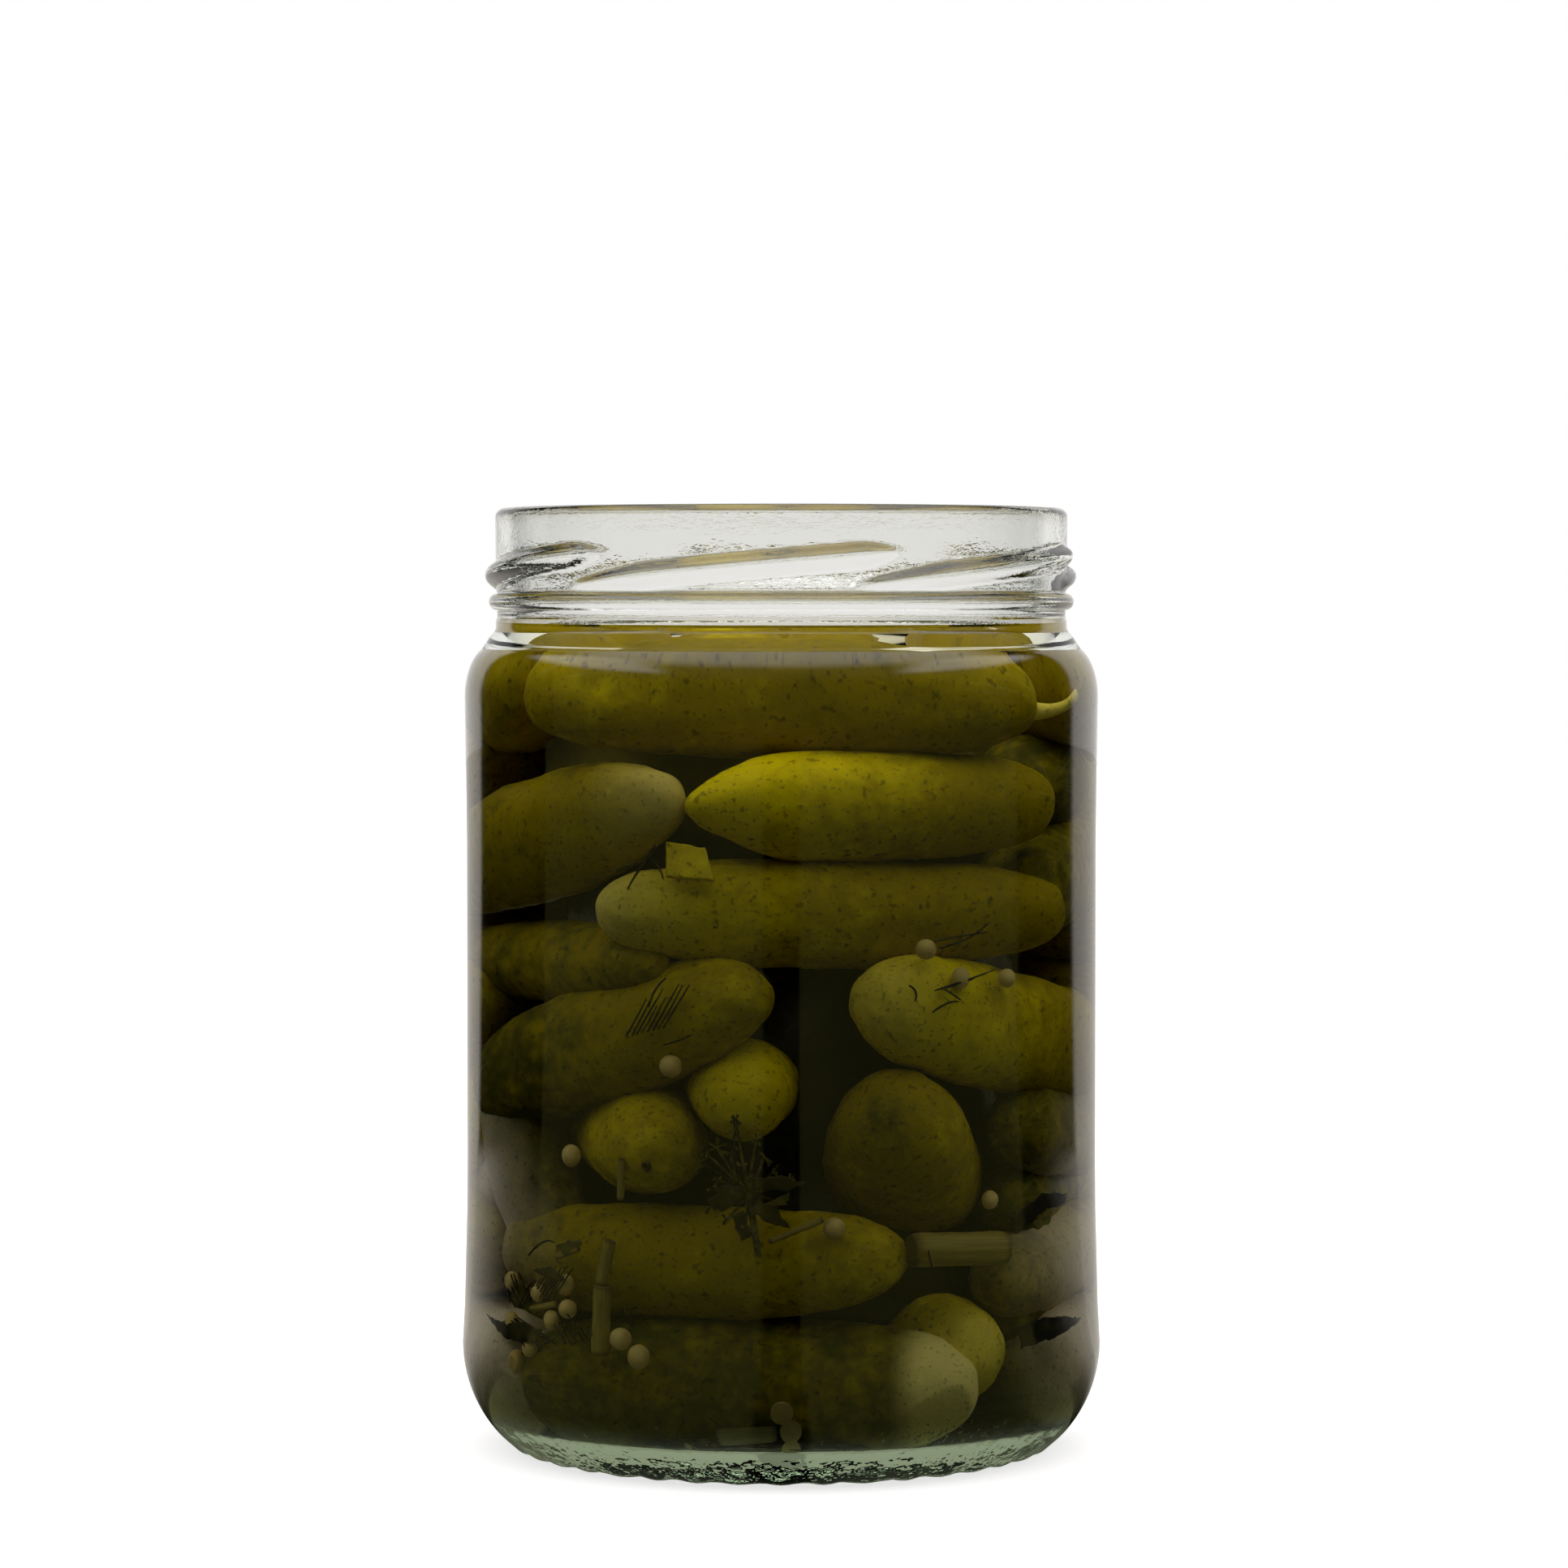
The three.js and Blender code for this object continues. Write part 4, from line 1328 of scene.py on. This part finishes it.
class GHERKINJAR_OT_leaves(bpy.types.Operator):
    """Lay the soaked leaf scraps flat against the glass"""

    bl_idname = "gherkinjar.leaves"
    bl_label = "Leaf scraps"

    def execute(self, context):
        draw = random.Random(context.scene.gherkin_contents.seed + 4)
        for number, leaf in enumerate(LEAVES):
            piece = self.sheet(f"leaf_{number + 1}", leaf["outline"], draw)
            ends = [
                [a + (b - a) * share for a, b in zip(LEAF_BLACK, LEAF_GREEN)]
                for share in ((1 - leaf["dark"]) * 0.5, 1 - leaf["dark"] * 0.9)
            ]
            material = herb_material(f"Soaked leaf {number + 1}", (*ends, LEAF_BLOTCHES))
            wear(piece, material, "gherkin_heap")
        return {"FINISHED"}

    def sheet(self, name, outline, draw):
        """A thin ragged sheet inside an outline, wavy and wrapped along the glass."""
        disc = bpy.ops.mesh.primitive_circle_add
        piece = primitive(name, disc, vertices=len(outline), radius=1, fill_type="NGON")
        flat = [(math.radians(angle) * CAVITY_RADIUS, height * MM, 0) for angle, height in outline]
        set_places(piece, np.array(flat))
        edit_all()
        bpy.ops.mesh.quads_convert_to_tris()
        bpy.ops.mesh.subdivide(number_cuts=7)
        leave_outward()
        shift = Vector([draw.uniform(-9, 9) for _ in range(3)])
        places = places_of(piece)
        for place in places:
            fine = Vector(place) / LEAF_RAG_SIZE
            wave = noise.noise(Vector(place) / LEAF_WAVE_SIZE - shift)
            across = place[0] + noise.noise(fine + shift) * LEAF_RAG
            up = place[1] + noise.noise(fine - shift) * LEAF_RAG
            depth = 0.45 + 0.35 * wave
            place[:] = beside_glass(math.degrees(across / CAVITY_RADIUS), up / MM, depth)
        set_places(piece, places)
        thicken(piece, LEAF_THICKNESS)
        settle(piece)
        return piece


class GHERKINJAR_OT_ends(bpy.types.Operator):
    """Add the peeled flap of skin, the stem and the blossom end that are left on gherkins"""

    bl_idname = "gherkinjar.ends"
    bl_label = "Peel, stem and blossom end"

    def execute(self, context):
        skin = bpy.data.materials["Gherkin skin"]
        self.peel(skin)
        points = [beside_glass(*spot) for spot in STEM]
        piece = threads("gherkin_stem", [(points, STEM_GIRTHS)])
        self.paint(piece, 0.85, 0.35)
        wear(piece, skin, "gherkin_heap")
        self.blossom(context.scene.gherkin_contents)
        return {"FINISHED"}

    def paint(self, piece, tone, pale):
        """Stores a tone and a paleness for the skin's material."""
        store(piece, "skin", np.tile((tone, pale, 0.0, 1.0), (len(piece.data.vertices), 1)))

    def peel(self, skin):
        """The flap: a curved sheet through its nine named places, a little thicker than skin."""
        sheet = bpy.ops.mesh.primitive_grid_add
        piece = primitive("peeled_skin", sheet, x_subdivisions=18, y_subdivisions=14, size=1)
        grid = np.array([[beside_glass(*spot) for spot in row] for row in PEEL])
        places = places_of(piece)
        across = places[:, 0] + 0.5
        down = 0.5 - places[:, 1]
        row_parts, column_parts = (
            np.stack([(1 - t) ** 2, 2 * t * (1 - t), t**2]) for t in (down, across)
        )
        set_places(piece, np.einsum("ip,jp,ijk->pk", row_parts, column_parts, grid))
        thicken(piece, 0.6 * MM)
        ripple(piece, random.Random(PEEL_SEED), ((2 * MM, 0.25 * MM),))
        settle(piece)
        self.paint(piece, 0.78, 0.05)
        wear(piece, skin, "gherkin_heap")

    def blossom(self, settings):
        """The dried blossom end: a small dark ring round a sunken middle."""
        piece = primitive(
            "blossom_end", bpy.ops.mesh.primitive_torus_add, major_segments=28,
            minor_segments=10, major_radius=0.42 * MM, minor_radius=0.3 * MM,
        )
        turn = math.radians(BLOSSOM_END[0])
        aside = (math.cos(turn), math.sin(turn), 0)
        inward = (-math.sin(turn), math.cos(turn), 0)
        facing = places_of(piece) @ np.array([aside, (0, 0, 1), inward])
        set_places(piece, press_inside(facing + np.array(beside_glass(*BLOSSOM_END, 0.25))))
        only(piece)
        edit_all()
        leave_outward()
        ripple(piece, random.Random(settings.seed), ((0.5 * MM, 0.12 * MM),))
        smooth(piece)
        brown = herb_material("Blossom end")
        wear(piece, brown, "gherkin_heap")


class GHERKINJAR_OT_crumbs(bpy.types.Operator):
    """Settle a thin dark bed of painted shade on the floor and scatter the fine crumbs round the
    foot of the heap, some of them painted glints
    """

    bl_idname = "gherkinjar.crumbs"
    bl_label = "Crumbs"

    def execute(self, context):
        settings = context.scene.gherkin_contents
        draw = np.random.default_rng(settings.seed)
        self.bed(settings)
        lump = bpy.ops.mesh.primitive_ico_sphere_add
        piece = primitive("crumbs", lump, subdivisions=1, radius=1)
        shape = places_of(piece)
        faces = np.array([list(face.vertices) for face in piece.data.polygons])
        angles = draw.uniform(-180, 180, CRUMBS)
        # Half the crumbs gather round one angle near the foot: pale real crumbs and painted glints
        # of the glass there
        angles[: CRUMBS // 2] = draw.normal(34, 8, CRUMBS // 2)
        climb = draw.uniform(0, 1, CRUMBS) ** 2
        size = draw.uniform(0.08, 0.3, CRUMBS) * MM
        places = []
        for angle, rise, radius in zip(angles, climb, size):
            height = FLOOR_HEIGHT / MM + 0.7 + 3.6 * rise
            crumb = shape * radius * draw.uniform(0.5, 1.3, 3)
            places.append(crumb + np.array(beside_glass(angle, height, 0.3)))
        every = np.concatenate([faces + k * len(shape) for k in range(CRUMBS)])
        piece.data.clear_geometry()
        piece.data.from_pydata(press_inside(np.concatenate(places)).tolist(), [], every.tolist())
        piece.data.update()
        smooth(piece)
        material = herb_material("Crumbs")
        wear(piece, material, "gherkin_heap")
        return {"FINISHED"}

    def bed(self, settings):
        """A thin uneven dark sheet over the floor under the gherkins: painted shade where the floor
        would show between them.
        """
        flat = CAVITY_RADIUS - CAVITY_HEEL
        middle = FLOOR_HEIGHT + CAVITY_HEEL
        under, over = CAVITY_HEEL - 0.45 * MM, CAVITY_HEEL - 1.3 * MM
        crown = (0, FLOOR_HEIGHT + FLOOR_CROWN + 0.45 * MM)
        outline = [crown, *straight(crown, (flat, middle - under), 20)]
        outline += arc(flat, middle, under, under, -90, -64, 10)[1:]
        outline += arc(flat, middle, over, over, -67, -90, 10)
        outline += straight((flat, middle - over), (0, crown[1] + 0.9 * MM), 20)
        piece = turned("soaked_bed", outline, 200)
        ripple(piece, random.Random(settings.seed), ((6 * MM, 0.5 * MM), (1.6 * MM, 0.5 * MM)))
        settle(piece)
        material = herb_material("Soaked bed")
        wear(piece, material, "gherkin_heap")


class GHERKINJAR_OT_stage(bpy.types.Operator):
    """Set up the floor, the light and the photograph's camera"""

    bl_idname = "gherkinjar.stage"
    bl_label = "Stage"

    def execute(self, context):
        scene = context.scene
        scene.view_settings.view_transform = "Standard"
        self.camera(scene)
        self.floor()
        self.light(scene)
        return {"FINISHED"}

    def camera(self, scene):
        """The camera stands in front of the jar, level with its neck."""
        data = bpy.data.cameras.new("camera")
        data.lens = CAMERA_LENS
        data.sensor_width = 36
        holder = bpy.data.objects.new("camera", data)
        scene.collection.objects.link(holder)
        holder.location = (CAMERA_ASIDE, -CAMERA_DISTANCE, CAMERA_HEIGHT)
        holder.rotation_euler = (math.radians(90 - CAMERA_PITCH), 0, 0)
        scene.camera = holder

    def floor(self):
        """A pale floor that glows a little under the base, as a lit table does.

        In reflections only the part near the jar and the strip behind it are bright.
        """
        disc = bpy.ops.mesh.primitive_circle_add
        floor = primitive("stage_floor", disc, vertices=96, radius=3, fill_type="NGON")
        material, tree, shader, _ = new_material("Pale floor")
        place = own_place(tree)
        direction = add_node(tree, "ShaderNodeVectorMath", {0: place}, operation="NORMALIZE")
        length = add_node(tree, "ShaderNodeVectorMath", {0: place}, operation="LENGTH")
        distance = length.outputs["Value"]
        across, back, _ = split_vector(tree, direction.outputs["Vector"])
        path = tree.nodes.new("ShaderNodeLightPath").outputs
        seen = path["Is Camera Ray"]

        apart = ramp(tree, calc(tree, "ABSOLUTE", across), *FLOOR_FRONT_GAP, 0, 1)
        facing = calc(tree, "MULTIPLY", ramp(tree, back, 0.05, 0.07, FLOOR_FRONT, 0), apart)
        facing = calc(tree, "MULTIPLY", facing, mirrored(tree, path))
        near = ramp(tree, distance, *FLOOR_SIDE_REACH, 1, 0)
        side = calc(tree, "MULTIPLY", ramp(tree, back, 0.25, 0.80, 0, FLOOR_SIDE), near)
        behind = ramp(tree, skewed(tree, across, back), *BEHIND_EDGE, 0, FLOOR_BEHIND)
        under = ramp(tree, distance, *FLOOR_GLOW_REACH, FLOOR_GLOW, 0)
        far = calc(tree, "MAXIMUM", side, behind)
        glow = calc(tree, "ADD", far, calc(tree, "ADD", facing, under))
        strengths = {0: seen, 2: glow, 3: FLOOR_SEEN}
        shown = add_node(tree, "ShaderNodeMix", strengths, data_type="FLOAT").outputs[0]

        front = ramp(tree, back, 0.05, 0.15, 1, 0)
        colour = blend(tree, front, FLOOR_BACK_TINT, FLOOR_FRONT_TINT)
        below = ramp(tree, distance, *FLOOR_UNDER_EDGE, 1, 0)
        colour = blend(tree, below, colour, FLOOR_UNDER_TINT)
        coat(tree, shader, blend(tree, seen, (0, 0, 0), (0.5, 0.5, 0.5)), 0.9, {
            "Specular IOR Level": 0,
            "Emission Color": blend(tree, seen, colour, WHITE),
            "Emission Strength": shown,
        })
        floor.data.materials.append(material)

    def light(self, scene):
        """A studio round the jar: bright behind and high above, dim in front, dark at the sides."""
        world = bpy.data.worlds.new("studio")
        scene.world = world
        world.use_nodes = True
        tree = world.node_tree
        tree.nodes.clear()
        direction = tree.nodes.new("ShaderNodeTexCoord").outputs["Generated"]
        across, back, up = split_vector(tree, direction)
        path = tree.nodes.new("ShaderNodeLightPath").outputs
        behind = ramp(tree, skewed(tree, across, back), *BEHIND_EDGE, 0, BEHIND_LIGHT)
        above = ramp(tree, up, *TOP_EDGE, 0, TOP_LIGHT)
        side = ramp(tree, calc(tree, "ABSOLUTE", across), *SIDE_EDGE, 0, SIDE_LIGHT)
        boxes = calc(tree, "MULTIPLY_ADD", side, ramp(tree, up, *SIDE_HEIGHT, 0, 1), above)
        facing = ramp(tree, back, *FRONT_EDGE, 0, FRONT_LIGHT)
        facing = calc(tree, "MULTIPLY", facing, mirrored(tree, path))
        total = calc(tree, "ADD", calc(tree, "ADD", behind, boxes), facing)
        low = ramp(tree, up, *LOW_EDGE, 1, 0)
        low = calc(tree, "MULTIPLY", ramp(tree, back, *FRONT_EDGE, 0, 1), low)
        lit = {"Color": blend(tree, low, STUDIO_TINT, LOW_TINT), "Strength": total}
        paint = add_node(tree, "ShaderNodeBackground", lit)
        view = add_node(tree, "ShaderNodeBackground", {"Color": WHITE})
        switch = add_node(tree, "ShaderNodeMixShader", {
            0: path["Is Camera Ray"], 1: paint.outputs["Background"],
            2: view.outputs["Background"],
        })
        add_node(tree, "ShaderNodeOutputWorld", {"Surface": switch.outputs["Shader"]})


class GHERKINJAR_PT_pieces(bpy.types.Panel):
    """The pieces of the jar, in the order that they are made"""

    bl_label = "Gherkin Jar"
    bl_space_type = "VIEW_3D"
    bl_region_type = "UI"
    bl_category = "Gherkin Jar"

    def draw(self, context):
        for settings in (context.scene.gherkin_jar, context.scene.gherkin_contents):
            for key in settings.__annotations__:
                self.layout.prop(settings, key)
        for operator in PIECES:
            self.layout.operator(operator.bl_idname)


PIECES = (
    GHERKINJAR_OT_stage,
    GHERKINJAR_OT_glass,
    GHERKINJAR_OT_core,
    GHERKINJAR_OT_gherkins,
    GHERKINJAR_OT_ends,
    GHERKINJAR_OT_seeds,
    GHERKINJAR_OT_stalks,
    GHERKINJAR_OT_dill,
    GHERKINJAR_OT_leaves,
    GHERKINJAR_OT_crumbs,
    GHERKINJAR_OT_brine,
)
CLASSES = (JarSettings, ContentSettings, *PIECES, GHERKINJAR_PT_pieces)


def register():
    for each in CLASSES:
        bpy.utils.register_class(each)
    bpy.types.Scene.gherkin_jar = PointerProperty(type=JarSettings)
    bpy.types.Scene.gherkin_contents = PointerProperty(type=ContentSettings)


def unregister():
    del bpy.types.Scene.gherkin_contents
    del bpy.types.Scene.gherkin_jar
    for each in reversed(CLASSES):
        bpy.utils.unregister_class(each)


def main():
    """Makes every piece in order."""
    register()
    bpy.ops.gherkinjar.stage()
    bpy.ops.gherkinjar.glass()
    bpy.ops.gherkinjar.core()
    bpy.ops.gherkinjar.gherkins()
    bpy.ops.gherkinjar.ends()
    bpy.ops.gherkinjar.seeds()
    bpy.ops.gherkinjar.stalks()
    bpy.ops.gherkinjar.dill()
    bpy.ops.gherkinjar.leaves()
    bpy.ops.gherkinjar.crumbs()
    bpy.ops.gherkinjar.brine()


if __name__ == "__main__":
    main()
